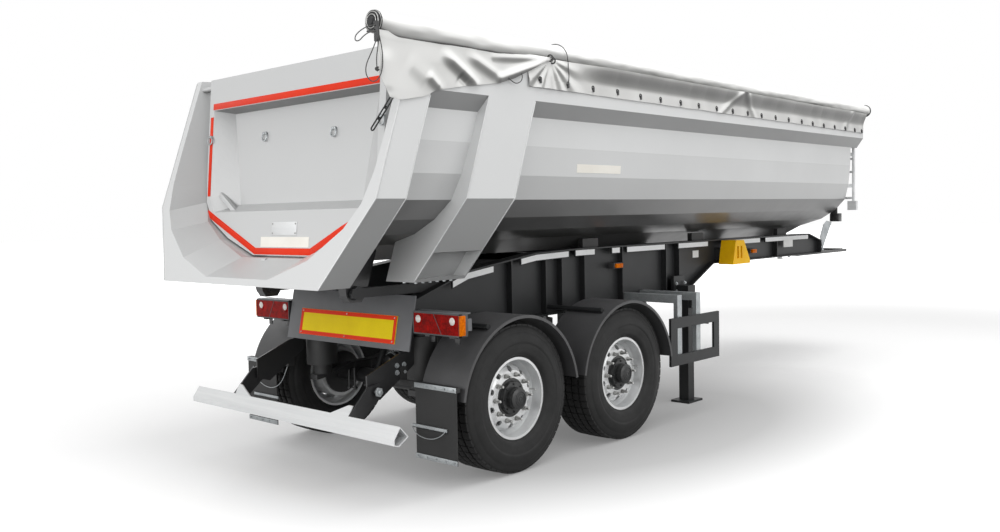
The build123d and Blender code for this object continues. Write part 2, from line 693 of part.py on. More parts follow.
def underrun():
    """Bracket plates under the beams, and the bar that folds up on two arms."""
    low_x, low_z = PANEL_LOW
    brackets = []
    for side in (-1, 1):
        y = sorted((side * (BEAM_OUTER_Y + SEAT_GAP), side * (BEAM_OUTER_Y + SEAT_GAP + BAR_ARM_THICKNESS)))
        plate = along_y([
            (beam_end_x(BRACKET_TOP_Z) + 1, BRACKET_TOP_Z), (BRACKET_FRONT_X, BRACKET_TOP_Z),
            (BRACKET_FRONT_X, BRACKET_STEP_Z), (BAG_CLEAR_X, BRACKET_STEP_Z), (BAG_CLEAR_X, BRACKET_FOOT_Z), (BAR_PIN_X + 60, BAR_PIN_Z - 70), (BAR_PIN_X - 45, BAR_PIN_Z - 40),
            (BAR_PIN_X - 50, BAR_PIN_Z + 110), (low_x - 40, low_z - 15), (low_x + PANEL_SKIN + 3, low_z - 6),
        ], y[0], y[1])
        pin_y = sorted((side * (BEAM_OUTER_Y + SEAT_GAP), side * (BAR_PIN_Y + BAR_ARM_THICKNESS + 26)))
        plate += rod_y(BAR_PIN_X, BAR_PIN_Z, 22, pin_y[0], pin_y[1])
        brackets.append(plate)
    save("underrun_brackets", *brackets)
    bar_face = make_face(Polyline(*[(x, 0, z) for x, z in BAR_SECTION], close=True))
    bar = extrude(bar_face, amount=2 * BAR_HALF, dir=(0, 1, 0))
    core = extrude(offset(bar_face, amount=-BAR_WALL, kind=Kind.INTERSECTION), amount=2 * BAR_HALF + 2, dir=(0, 1, 0))
    bar = Pos(0, -BAR_HALF, 0) * (bar - Pos(0, -1, 0) * core)
    ridge_x, ridge_z = BAR_SECTION[0]
    front_x, front_z = BAR_SECTION[1]
    low_y, top_y, high_y = BAR_GUSSET_Y
    gusset = Polyline(
        (ridge_x + 2, low_y, ridge_z - 8), (ridge_x + 40, top_y, ridge_z + 62), (ridge_x + 40, high_y, ridge_z + 62),
        (ridge_x + 2, high_y, ridge_z - 8), close=True,
    )
    for plate in both_sides(extrude(make_face(gusset), amount=8, dir=(1, 0, 0))):
        bar += plate
    save("underrun_bar", bar)
    arms = []
    for side in (-1, 1):
        y = sorted((side * BAR_PIN_Y, side * (BAR_PIN_Y + BAR_ARM_THICKNESS)))
        arm = along_y([
            (BAR_PIN_X + 30, BAR_PIN_Z + 52), (BAR_PIN_X + 52, BAR_PIN_Z - 30), (front_x + 30, front_z + 20),
            (front_x, front_z), (ridge_x, ridge_z), (BAR_PIN_X - 70, BAR_PIN_Z + 40),
        ], y[0], y[1])
        arm -= rod_y(BAR_PIN_X, BAR_PIN_Z, 22 + AXLE_CLEARANCE, y[0] - 1, y[1] + 1)
        arms.append(arm)
    save("underrun_arms", *arms)


def side_guards():
    """A black rectangle hung outside galvanised brackets on each side."""
    y = (SIDE_GUARD_Y - SIDE_GUARD_THICKNESS, SIDE_GUARD_Y)
    guard = block(SIDE_GUARD_X, y, SIDE_GUARD_Z)
    bar = SIDE_GUARD_BAR
    x_in = (SIDE_GUARD_X[0] + bar, SIDE_GUARD_X[1] - bar)
    z_in = (SIDE_GUARD_Z[0] + bar, SIDE_GUARD_Z[1] - bar)
    guard -= block(x_in, (y[0] - 1, y[1] + 1), z_in)
    save("side_guards", *both_sides(guard))
    brackets = []
    root = beam_web_y() + PLATE / 2
    for x in SIDE_BRACKET_X:
        size = SIDE_BRACKET_SIZE
        arm = block((x - size / 2, x + size / 2), (root, y[0]), (SIDE_BRACKET_Z - size, SIDE_BRACKET_Z))
        hollow_x = (x - size / 2 + 5, x + size / 2 + 1)
        arm -= block(hollow_x, (root + 6, y[0] + 1), (SIDE_BRACKET_Z - size + 5, SIDE_BRACKET_Z - 5))
        post = block((x - size / 2, x + size / 2), (y[0] - 40, y[0]), (SIDE_GUARD_Z[0] + 12, SIDE_BRACKET_Z))
        post -= block(hollow_x, (y[0] - 35, y[0] - 5), (0, SIDE_BRACKET_Z - 5))
        brackets += both_sides(arm + post)
    save("side_guard_brackets", *brackets)


def chocks():
    """A wedge on a bracket outside each gooseneck beam."""
    low, high = CHOCK_Z
    rear, front = CHOCK_X
    y = (CHOCK_Y, CHOCK_Y + CHOCK_WIDTH)
    wedge = along_y([
        (rear, low), (rear + 60, high), (rear + 230, high), (front, low + 30), (front, low),
    ], *y)
    cut = block((rear + 90, rear + 125), (y[0] - 1, y[1] + 1), (low + 60, high - 60))
    wedge -= cut
    wedge -= Pos(70, 0, 0) * cut
    save("wheel_chocks", *both_sides(wedge))


def air_tanks():
    """Two brake air tanks between the beams."""
    tanks = []
    for y in (-230, 230):
        tank = fillet(rod_x(y, TANK_Z, TANK_RADIUS, *TANK_X).edges(), 40)
        root = sorted((y, (beam_web_y() - PLATE / 2) * y / abs(y)))
        for x in (TANK_X[0] + 100, TANK_X[1] - 150):
            tank += block((x, x + 50), root, (TANK_Z - 15, TANK_Z + 15))
        tanks.append(tank)
    save("air_tanks", *tanks)


def rear_plane_x(z, foot_x):
    """Where a plane of the slanted rear crosses a height."""
    return foot_x + SLANT * (z - BAND_FOOT_Z)


def behind(foot_x):
    """Everything behind a slanted plane, to trim the tub's panels."""
    reach = TRIM_LENGTH
    return along_y([
        (rear_plane_x(0, foot_x), 0), (rear_plane_x(reach, foot_x), reach),
        (rear_plane_x(0, foot_x) - reach, reach), (rear_plane_x(0, foot_x) - reach, 0),
    ], -TRIM_HALF, TRIM_HALF)


def panel_rear():
    return LIP_X + REAR_BAND_WIDTH


def roll_cradles():
    """Rests for the rolled tarp on top of the right rail."""
    (rear_x, rear_z), (front_x, front_z) = ROLL_ENDS
    around = rod_between((rear_x, ROLL_Y, rear_z), (front_x, ROLL_Y, front_z), ROLL_RADIUS + SEAT_GAP)
    rests = block(
        (ROLL_CRADLE_X[0] - 20, ROLL_CRADLE_X[0] + 20), (2 - HALF_WIDTH, ROLL_Y + 90),
        (RAIL_TOP_Z - 5, RAIL_TOP_Z + 110),
    )
    rests = sum_of(Pos(x - ROLL_CRADLE_X[0], 0, 0) * rests for x in ROLL_CRADLE_X)
    return rests - around


def sum_of(pieces):
    """All the pieces fused."""
    total = None
    for piece in pieces:
        total = piece if total is None else total + piece
    return total


def tub():
    """Floor pan, side panels, top rails and front wall, trimmed by the slanted rear."""
    rear = rear_plane_x(BAND_FOOT_Z, panel_rear())
    inner_front = FRONT_WALL_X - FRONT_WALL_THICKNESS
    trim = behind(panel_rear())
    pan_outer = OUTER_SECTION[:PAN_OUTER_COUNT]
    pan_inner = INNER_SECTION[:PAN_INNER_COUNT]
    pan = along_x(mirrored(pan_outer) + list(reversed(mirrored(pan_inner))), rear - TRIM_HALF, inner_front)
    save("floor_pan", pan - trim)
    wall = list(OUTER_SECTION[PAN_OUTER_COUNT - 1:]) + list(reversed(INNER_SECTION[PAN_INNER_COUNT - 1:]))
    side = along_x(wall, rear - TRIM_HALF, inner_front) - trim
    save("side_panels", *both_sides(side))
    outer_y, under_z = OUTER_SECTION[-1]
    inner_y = INNER_SECTION[-1][0]
    rail = along_x([
        (inner_y, under_z), (outer_y, under_z), (HALF_WIDTH, RAIL_LOW_Z), (HALF_WIDTH, RAIL_TOP_Z),
        (inner_y, RAIL_TOP_Z),
    ], rear - TRIM_HALF, RAIL_FRONT_X)
    left, right = both_sides(rail - trim)
    save("top_rails", left, right + roll_cradles())
    front = along_x(mirrored(OUTER_SECTION), inner_front, FRONT_WALL_X)
    cap = block((inner_front, FRONT_CAP_X), (-inner_y, inner_y), (under_z, RAIL_TOP_Z))
    wall = front + cap
    for ear in ram_ears():
        wall += ear
    save("front_wall", wall)


def rear_frame():
    """Slanted spout: a band outside, an opening that flares from the tub to the lip."""
    outer = [(BAND_FOOT_HALF, BAND_FOOT_Z), (HALF_WIDTH, BAND_KNEE_Z), (HALF_WIDTH, REAR_TOP_Z)]
    band = along_x(mirrored(outer), LIP_X, LIP_X + REAR_BAND_WIDTH, SLANT, BAND_FOOT_Z)
    front_half = list(INNER_SECTION)
    top = REAR_TOP_Z + SPOUT_OPEN_TOP
    rear_half = list(SPOUT_SECTION) + [(SPOUT_SECTION[-1][0], top)]
    front_half = front_half + [(front_half[-1][0], top)]
    rings = []
    for half, foot in ((rear_half, LIP_X - 1), (front_half, LIP_X + REAR_BAND_WIDTH + 1)):
        points = [(rear_plane_x(z, foot), y, z) for y, z in mirrored(half)]
        rings.append(make_face(Polyline(*points, close=True)))
    opening = loft(rings, ruled=True)
    pin_hole = GATE_PIN_RADIUS + AXLE_CLEARANCE
    band -= opening
    hole_end = GATE_PIN_END_Y + AXLE_CLEARANCE + 5
    band -= rod_y(GATE_HINGE_X, GATE_HINGE_Z, pin_hole, -hole_end, hole_end)
    save("rear_frame", band)


def rib():
    """Slanted hoop round the tub above the axle, with a boxed foot on each side."""
    outer = [(BAND_FOOT_HALF + RIB_FOOT_EXTRA, BAND_FOOT_Z), (HALF_WIDTH, BAND_KNEE_Z), (HALF_WIDTH, RAIL_LOW_Z)]
    band = along_x(mirrored(outer), RIB_FOOT_X, RIB_FOOT_X + RIB_WIDTH, SLANT, BAND_FOOT_Z)
    tub_outside = along_x(mirrored(list(OUTER_SECTION) + [(HALF_WIDTH, RAIL_LOW_Z)]), -TRIM_HALF, TRIM_HALF)
    band -= tub_outside
    keep = RIB_KEEP_Y
    band -= block((-TRIM_HALF, TRIM_HALF), (-keep, keep), (BEAM_LOWEST_Z, OUTER_SECTION[2][1]))
    wall = RIB_BOX_WALL
    box_lean = SLANT * (RIB_BOX[0][1] - BAND_FOOT_Z)
    box = along_x(RIB_BOX, RIB_FOOT_X + box_lean + wall, RIB_FOOT_X + box_lean + RIB_WIDTH - wall, SLANT,
                  RIB_BOX[0][1])
    for hole in both_sides(box):
        band -= hole
    save("rib", band)


def pivot_bearings():
    """Two ears under the tub's rear, on the frame's pins."""
    ears = []
    for side in (-1, 1):
        y = sorted((side * (PIVOT_Y - PIVOT_EAR_HALF), side * (PIVOT_Y + PIVOT_EAR_HALF)))
        ear = along_y([(PIVOT_X + reach, PIVOT_Z + rise) for reach, rise in PIVOT_EAR], y[0], y[1])
        ear -= rod_y(PIVOT_X, PIVOT_Z, PIVOT_PIN_RADIUS + AXLE_CLEARANCE, y[0] - 1, y[1] + 1)
        ears.append(ear)
    tub_outside = along_x(mirrored(OUTER_SECTION), -TRIM_HALF, TRIM_HALF)
    ears = [ear - tub_outside for ear in ears]
    save("pivot_ears", *ears)


def ladder():
    """A short ladder on the front wall's right side, with a step block below it."""
    top = OUTER_SECTION[-1][1] - SEAT_GAP
    sides = LADDER_Y
    rear = FRONT_WALL_X + LADDER_STANDOFF
    front = rear + LADDER_STILE
    stiles = [block((rear, front), (-y - 10, -y + 10), (LADDER_LOW_Z, top)) for y in sides]
    count = int((top - LADDER_LOW_Z - LADDER_FIRST) / LADDER_STEP) + 1
    steps = [LADDER_LOW_Z + LADDER_FIRST + LADDER_STEP * step for step in range(count)]
    rungs = [rod_y((rear + front) / 2, z, 13, -sides[0], -sides[1]) for z in steps]
    stays = [
        block((FRONT_WALL_X + SEAT_GAP, rear + 5), (-y - 9, -y + 9), (z, z + LADDER_STILE))
        for y in (sides[0] - 35, sides[1]) for z in LADDER_STAY_Z
    ]
    bars = [block((rear, rear + 20), (-sides[0], -sides[1]), (z, z + LADDER_STILE)) for z in LADDER_STAY_Z]
    (low_y, high_y), (low_z, high_z) = LADDER_BLOCK
    foot = block((rear - 10, front), (-high_y, -low_y), (low_z, high_z))
    save("ladder", sum_of(stiles + rungs + stays + bars + [foot]))


def tailgate():
    """Panel in a frame: a deep beam on top, side posts, a recess and a flush lower part."""
    section = list(INNER_SECTION[:-1]) + [(INNER_SECTION[-1][0], GATE_TOP_Z)]
    face = make_face(Polyline(*[(0, y, z) for y, z in mirrored(section)], close=True))
    trimmed = offset(face, amount=-GATE_GAP, kind=Kind.INTERSECTION)
    half = [(v.Y, v.Z) for v in trimmed.vertices()]
    right = sorted({(round(y, 3), round(z, 3)) for y, z in half if y > 0}, key=lambda p: (p[1], -p[0]))
    top_y = right[-1][0]
    right = [p for p in right if p[1] < GATE_TOP_Z - GATE_BEAM_DEPTH] + [(top_y, GATE_TOP_Z)]
    rear_x = GATE_TOP_X
    plane_z = GATE_TOP_Z - GATE_BEAM_DEPTH
    gate = along_x(mirrored(right), rear_x, rear_x + GATE_DEPTH, GATE_SLANT, plane_z)
    rings = []
    for half, depth in ((GATE_RIM, 0), (GATE_FLOOR, GATE_RECESS)):
        ring = mirrored(list(reversed(half)))
        rings.append(make_face(Polyline(
            *[(rear_x + depth + GATE_SLANT * (z - plane_z), y, z) for y, z in ring], close=True,
        )))
    gate -= loft(rings, ruled=True)
    gate += rod_y(GATE_HINGE_X, GATE_HINGE_Z, GATE_PIN_RADIUS, -GATE_PIN_END_Y, GATE_PIN_END_Y)
    save("tailgate", gate)


def ram():
    """Foot tube on its pin and the nested stages that slide out of it."""
    lean = degrees(atan2(RAM_EYE_X - RAM_FOOT_X, RAM_EYE_Z - RAM_FOOT_Z))
    length = hypot(RAM_EYE_X - RAM_FOOT_X, RAM_EYE_Z - RAM_FOOT_Z)
    place = Pos(RAM_FOOT_X, 0, RAM_FOOT_Z) * Rot(0, lean, 0)
    tube_high = length - RAM_TUBE_SHORT
    bore = RAM_TUBE_RADIUS - RAM_TUBE_WALL
    tube = rod_z(0, 0, RAM_TUBE_RADIUS, 0, tube_high) - rod_z(0, 0, bore, RAM_FOOT_WALL, tube_high + 1)
    tube += rod_y(0, 0, RAM_FOOT_WALL, -RAM_TUBE_RADIUS, RAM_TUBE_RADIUS)
    pin_end = RAM_TUBE_RADIUS + 36
    tube += rod_y(0, 0, RAM_FOOT_PIN_RADIUS, -pin_end, pin_end)
    save("ram_tube", place * tube)
    outer = bore - RAM_STAGE_GAP
    for stage in range(1, RAM_STAGES + 1):
        low = RAM_FOOT_WALL + 5 + 3 * stage
        high = tube_high + RAM_STAGE_RISE * stage
        piece = rod_z(0, 0, outer, low, high)
        inner = outer - RAM_STAGE_STEP
        if stage < RAM_STAGES:
            piece -= rod_z(0, 0, inner, low - 1, high + 1)
        else:
            piece += rod_z(0, 0, outer * 0.8, high, length)
            piece += rod_y(0, length, RAM_EYE_RADIUS, -RAM_EYE_HALF, RAM_EYE_HALF)
        save(f"ram_stage_{stage}", place * piece)
        outer = inner - RAM_STAGE_GAP


def ram_ears():
    """Two plates on the front wall that hold the ram's upper pin."""
    ears = []
    inner = RAM_EYE_HALF + RUNNING_GAP + 1
    outer = inner + RAM_EAR_THICKNESS
    radius = RAM_EYE_RADIUS + 12
    outline = [
        (FRONT_CAP_X - 5, RAM_EYE_Z - radius), (FRONT_CAP_X - 5, RAIL_TOP_Z - 15),
        (RAM_EYE_X + radius * 0.6, RAM_EYE_Z + radius), (RAM_EYE_X + radius, RAM_EYE_Z + radius * 0.5),
        (RAM_EYE_X + radius, RAM_EYE_Z - radius * 0.5), (RAM_EYE_X + radius * 0.6, RAM_EYE_Z - radius),
    ]
    for side in (-1, 1):
        low, high = sorted((side * inner, side * outer))
        ear = along_y(outline, low, high)
        boss_low, boss_high = sorted((side * inner, side * (outer + 14)))
        ear += rod_y(RAM_EYE_X, RAM_EYE_Z, 30, boss_low, boss_high)
        ears.append(ear)
    return ears


def tarp():
    """Rolled tarp on the right rail, the skirt below it and the loose rear flap."""
    (rear_x, rear_z), (front_x, front_z) = ROLL_ENDS
    roll = rod_between((rear_x, ROLL_Y, rear_z), (front_x, ROLL_Y, front_z), ROLL_RADIUS)
    save("tarp_roll", roll)
    outside = -HALF_WIDTH - SEAT_GAP
    save("tarp_skirt", along_y(SKIRT, outside - SKIRT_THICKNESS, outside))
    save("tarp_flap", along_y(DRAPE, outside - DRAPE_THICKNESS, outside))


def main():
    os.makedirs("parts", exist_ok=True)
    frame_beams()
    cross_members()
    coupler()
    hose_stand()
    body_rests()
    suspension()
    axles()
    wheels()
    landing_legs()
    mudguards()
    mudflaps()
    rear_end()
    underrun()
    side_guards()
    chocks()
    air_tanks()
    tub()
    rear_frame()
    rib()
    pivot_bearings()
    ladder()
    tailgate()
    ram()
    tarp()


main()
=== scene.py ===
from math import cos, pi, radians, sin

import bmesh
import bpy
from mathutils import Matrix, Vector, noise


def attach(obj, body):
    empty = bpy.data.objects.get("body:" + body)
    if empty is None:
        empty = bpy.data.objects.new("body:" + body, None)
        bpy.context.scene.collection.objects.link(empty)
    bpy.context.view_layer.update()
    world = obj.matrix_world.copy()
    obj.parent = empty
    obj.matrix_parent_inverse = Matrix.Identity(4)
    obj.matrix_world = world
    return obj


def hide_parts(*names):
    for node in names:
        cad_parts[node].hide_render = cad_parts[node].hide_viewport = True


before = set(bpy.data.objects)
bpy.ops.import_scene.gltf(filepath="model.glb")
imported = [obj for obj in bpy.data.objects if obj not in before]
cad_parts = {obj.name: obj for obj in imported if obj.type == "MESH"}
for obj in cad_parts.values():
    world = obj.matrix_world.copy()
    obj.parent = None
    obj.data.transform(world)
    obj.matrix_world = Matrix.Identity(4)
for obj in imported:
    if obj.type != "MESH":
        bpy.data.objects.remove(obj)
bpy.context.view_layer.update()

# The row frame is centred along the trailer. Places here are counted from the rear axle, as in the drawing.
REAR_AXLE = -2.81

# Camera, solved from the photograph
CAMERA_PLACE = (-5.0149, -5.656, 1.8446)
CAMERA_YAW = 42.667
CAMERA_PITCH = -3.204
CAMERA_ROLL = -1.125
FOCAL_PIXELS = 952.45
IMAGE_WIDTH = 1000
IMAGE_HEIGHT = 532
PRINCIPAL_ROW = 268.08
SENSOR = 36.0
CLIP_END = 400

# Floor and light
FLOOR_HALF = 90.0
FLOOR_NEAR = 4.8
FLOOR_FAR = 11.5
FLOOR_OVAL = (0.62, 1.0, 1.0)
FLOOR_GLOW_NEAR = 0.16
FLOOR_GLOW_FAR = 1.2
BOUNCE_GREY = "#7A7A7A"
WHITE = (1, 1, 1, 1)
# A painted shadow on the floor under the trailer: its middle and reach, as the mapping's place and scale
SHADOW_PATCH_MIDDLE = (-1.1, -0.9)
SHADOW_PATCH_REACH = (3.9, 2.3)
SHADOW_PATCH_SCALE = (1 / SHADOW_PATCH_REACH[0], 1 / SHADOW_PATCH_REACH[1], 1)
SHADOW_PATCH_PLACE = (-SHADOW_PATCH_MIDDLE[0] / SHADOW_PATCH_REACH[0], -SHADOW_PATCH_MIDDLE[1] / SHADOW_PATCH_REACH[1], 0)
WORLD_AMBIENT = 0.62

# Soft boxes: name, place from the rear axle, aim, width, height and power
LIGHTS = (
    ("overhead_soft_box", (2.5, -2.5, 8.0), (2.5, 0.0, 1.0), 11.0, 5.0, 420),
    ("right_soft_box", (1.5, -10.0, 4.5), (2.5, 0.0, 2.2), 10.0, 4.0, 300),
    ("rear_soft_box", (-9.0, 1.5, 4.5), (0.0, 0.0, 1.8), 6.0, 4.0, 175),
    ("low_rear_soft_box", (-8.0, -2.5, 1.8), (-0.6, 0.0, 1.0), 6.0, 2.4, 185),
    ("left_soft_box", (2.0, 9.0, 5.0), (2.0, 0.0, 1.5), 9.0, 4.0, 120),
)

# The sRGB curve: slope and end of its straight part, offset and power of the rest
SRGB_SLOPE = 12.92
SRGB_STRAIGHT_END = 0.04045
SRGB_OFFSET = 0.055
SRGB_POWER = 2.4


def linear(code):
    """An sRGB hex colour as linear values."""
    values = []
    for start in (1, 3, 5):
        level = int(code[start:start + 2], 16) / 255
        if level <= SRGB_STRAIGHT_END:
            values.append(level / SRGB_SLOPE)
        else:
            values.append(((level + SRGB_OFFSET) / (1 + SRGB_OFFSET)) ** SRGB_POWER)
    return (*values, 1.0)


def at(x, y, z):
    """A place counted from the rear axle, in the row frame."""
    return Vector((x + REAR_AXLE, y, z))


def linked(name, data):
    """A new object in the scene."""
    made = bpy.data.objects.new(name, data)
    bpy.context.scene.collection.objects.link(made)
    return made


def fill(tree, node, sockets):
    """Link nodes and their sockets to a node's inputs, and set the inputs that have plain values."""
    for socket, value in sockets.items():
        if isinstance(value, bpy.types.Node):
            value = value.outputs[0]
        if isinstance(value, bpy.types.NodeSocket):
            tree.links.new(value, node.inputs[socket])
        else:
            node.inputs[socket].default_value = value


def add(tree, kind, sockets=None, stops=(), **settings):
    """One node with its settings, what goes into its sockets, and its colour stops."""
    node = tree.nodes.new(kind)
    for name, value in settings.items():
        setattr(node, name, value)
    fill(tree, node, sockets or {})
    if stops:
        elements = node.color_ramp.elements
        while len(elements) < len(stops):
            elements.new(0.5)
        for element, (place, code) in zip(elements, stops):
            element.position = place
            element.color = linear(code)
    return node


def material(name, **constants):
    """A new material, with its tree, its shader and its object coordinates."""
    made = bpy.data.materials.new(name)
    made.use_nodes = True
    tree = made.node_tree
    shader = tree.nodes["Principled BSDF"]
    fill(tree, shader, {socket.replace("_", " "): value for socket, value in constants.items()})
    return made, tree, shader, add(tree, "ShaderNodeTexCoord").outputs["Object"]


def body_paint(name, bright):
    """Pale grey two-pack paint, with painted shade: facets that look down or inward go darker."""
    made, tree, shader, place = material(name, Coat_Weight=0.3, Coat_Roughness=0.15)
    normal = add(tree, "ShaderNodeNewGeometry").outputs["True Normal"]
    facing = add(tree, "ShaderNodeSeparateXYZ", {0: normal}).outputs
    off_middle = add(tree, "ShaderNodeSeparateXYZ", {0: place}).outputs["Y"]
    side = add(tree, "ShaderNodeMath", {0: off_middle}, operation="SIGN")
    outward = add(tree, "ShaderNodeMath", {0: facing["Y"], 1: side}, operation="MULTIPLY")
    # Painted shade: facets that look inward, toward the middle, go down to half as bright.
    dark = bright * 0.5
    inward_shade = add(tree, "ShaderNodeMapRange", {"Value": outward, 1: -0.25, 2: -1.0, 3: bright, 4: dark})
    # Painted shade by facing: facets that look down go dark, and those that look straight up a little darker.
    # The noise adds a random mottle.
    mist = add(tree, "ShaderNodeTexNoise", {"Vector": place, "Scale": 1.1, "Detail": 4.0})
    shade_and_mottle = add(tree, "ShaderNodeMath", {0: mist, 1: 0.1, 2: facing["Z"]}, operation="MULTIPLY_ADD")
    level = add(tree, "ShaderNodeMapRange", {"Value": shade_and_mottle, 1: -0.95, 2: 1.0})
    film = add(tree, "ShaderNodeValToRGB", {"Fac": level}, (
        (0.0, "#484847"), (0.056, "#5A5A5A"), (0.158, "#787878"), (0.254, "#9C9D9D"), (0.384, "#B4B5B5"),
        (0.451, "#C4C5C5"), (0.508, "#D6D7D7"), (0.564, "#D9DADA"), (0.75, "#CACBCB"), (1.0, "#B8B9B9"),
    ))
    shaded = add(tree, "ShaderNodeVectorMath", {0: film, "Scale": inward_shade}, operation="SCALE")
    wipes = add(tree, "ShaderNodeMapping", {"Vector": place, "Scale": (3.0, 3.0, 0.7)})
    streaks = add(tree, "ShaderNodeTexNoise", {"Vector": wipes, "Scale": 2.0})
    rough = add(tree, "ShaderNodeMapRange", {"Value": streaks, 3: 0.27, 4: 0.4})
    waves = add(tree, "ShaderNodeTexNoise", {"Vector": place, "Scale": 2.4, "Detail": 1.0})
    relief = add(tree, "ShaderNodeBump", {"Height": waves, "Strength": 0.1, "Distance": 0.003})
    fill(tree, shader, {"Base Color": shaded, "Roughness": rough, "Normal": relief})
    return made


def finish(name, pale, dark, rough, patch=1.5, grain=200.0, depth=0.0002, swing=0.12, stretch=(1, 1, 1),
           cells=False, **constants):
    """A coating, metal or moulding: two tones in patches, uneven gloss and a fine grain or spangle."""
    made, tree, shader, place = material(name, **constants)
    drawn = add(tree, "ShaderNodeMapping", {"Vector": place, "Scale": stretch})
    sockets = {"Vector": drawn, "Scale": patch, "Detail": 6.0, "Roughness": 0.6}
    patches = add(tree, "ShaderNodeTexNoise", sockets)
    kind, share = ("ShaderNodeTexVoronoi", 0.3) if cells else ("ShaderNodeTexNoise", 0.12)
    fine = add(tree, kind, {"Vector": drawn, "Scale": grain})
    mixed = add(tree, "ShaderNodeMath", {0: fine, 1: share, 2: patches}, operation="MULTIPLY_ADD")
    tone = add(tree, "ShaderNodeValToRGB", {"Fac": mixed}, ((0.4, pale), (0.8, dark)))
    glossy, dull = max(rough - swing / 2, 0.02), rough + swing / 2
    gloss = add(tree, "ShaderNodeMapRange", {"Value": patches, 3: glossy, 4: dull})
    relief = add(tree, "ShaderNodeBump", {"Height": fine, "Strength": 0.3, "Distance": depth})
    fill(tree, shader, {"Base Color": tone, "Roughness": gloss, "Normal": relief})
    return made


def tarp_cloth(name, shades):
    """Coated polyester cloth: a satin skin over a weave drawn coarse enough to show, with painted shade:
    faces that look down go darker.
    """
    made, tree, shader, place = material(name, Sheen_Weight=0.15, Sheen_Roughness=0.4)
    scuffs = add(tree, "ShaderNodeTexNoise", {"Vector": place, "Scale": 2.2, "Detail": 6.0})
    # Painted shade: the tone follows how far the face looks up, with a random mottle from the scuffs noise.
    normal = add(tree, "ShaderNodeNewGeometry").outputs["Normal"]
    upward = add(tree, "ShaderNodeSeparateXYZ", {0: normal}).outputs["Z"]
    shade_and_mottle = add(tree, "ShaderNodeMath", {0: scuffs, 1: -0.08, 2: upward}, operation="MULTIPLY_ADD")
    level = add(tree, "ShaderNodeMapRange", {"Value": shade_and_mottle, 1: -0.8, 2: 0.2})
    tone = add(tree, "ShaderNodeValToRGB", {"Fac": level}, shades)
    threads = []
    for axis in ("X", "Z"):
        sockets = {"Vector": place, "Scale": 160.0, "Distortion": 0.4}
        threads.append(add(tree, "ShaderNodeTexWave", sockets, bands_direction=axis).outputs["Fac"])
    weave = add(tree, "ShaderNodeMath", {0: threads[0], 1: threads[1]}, operation="MULTIPLY")
    relief = add(tree, "ShaderNodeBump", {"Height": weave, "Strength": 0.15, "Distance": 0.0003})
    creases = add(tree, "ShaderNodeTexNoise", {"Vector": place, "Scale": 14.0, "Detail": 3.0})
    sockets = {"Height": creases, "Normal": relief, "Strength": 0.2, "Distance": 0.006}
    soft = add(tree, "ShaderNodeBump", sockets)
    gloss = add(tree, "ShaderNodeMapRange", {"Value": scuffs, 3: 0.38, 4: 0.55})
    fill(tree, shader, {"Base Color": tone, "Roughness": gloss, "Normal": soft})
    return made


# Settings that several finishes share
REFLECTIVE = {"cells": True, "Specular_IOR_Level": 0.2}
LENS = {"rough": 0.3, "patch": 20.0, "grain": 60.0, "depth": 0.0008, "swing": 0.06, "cells": True,
        "Specular_IOR_Level": 0.06}


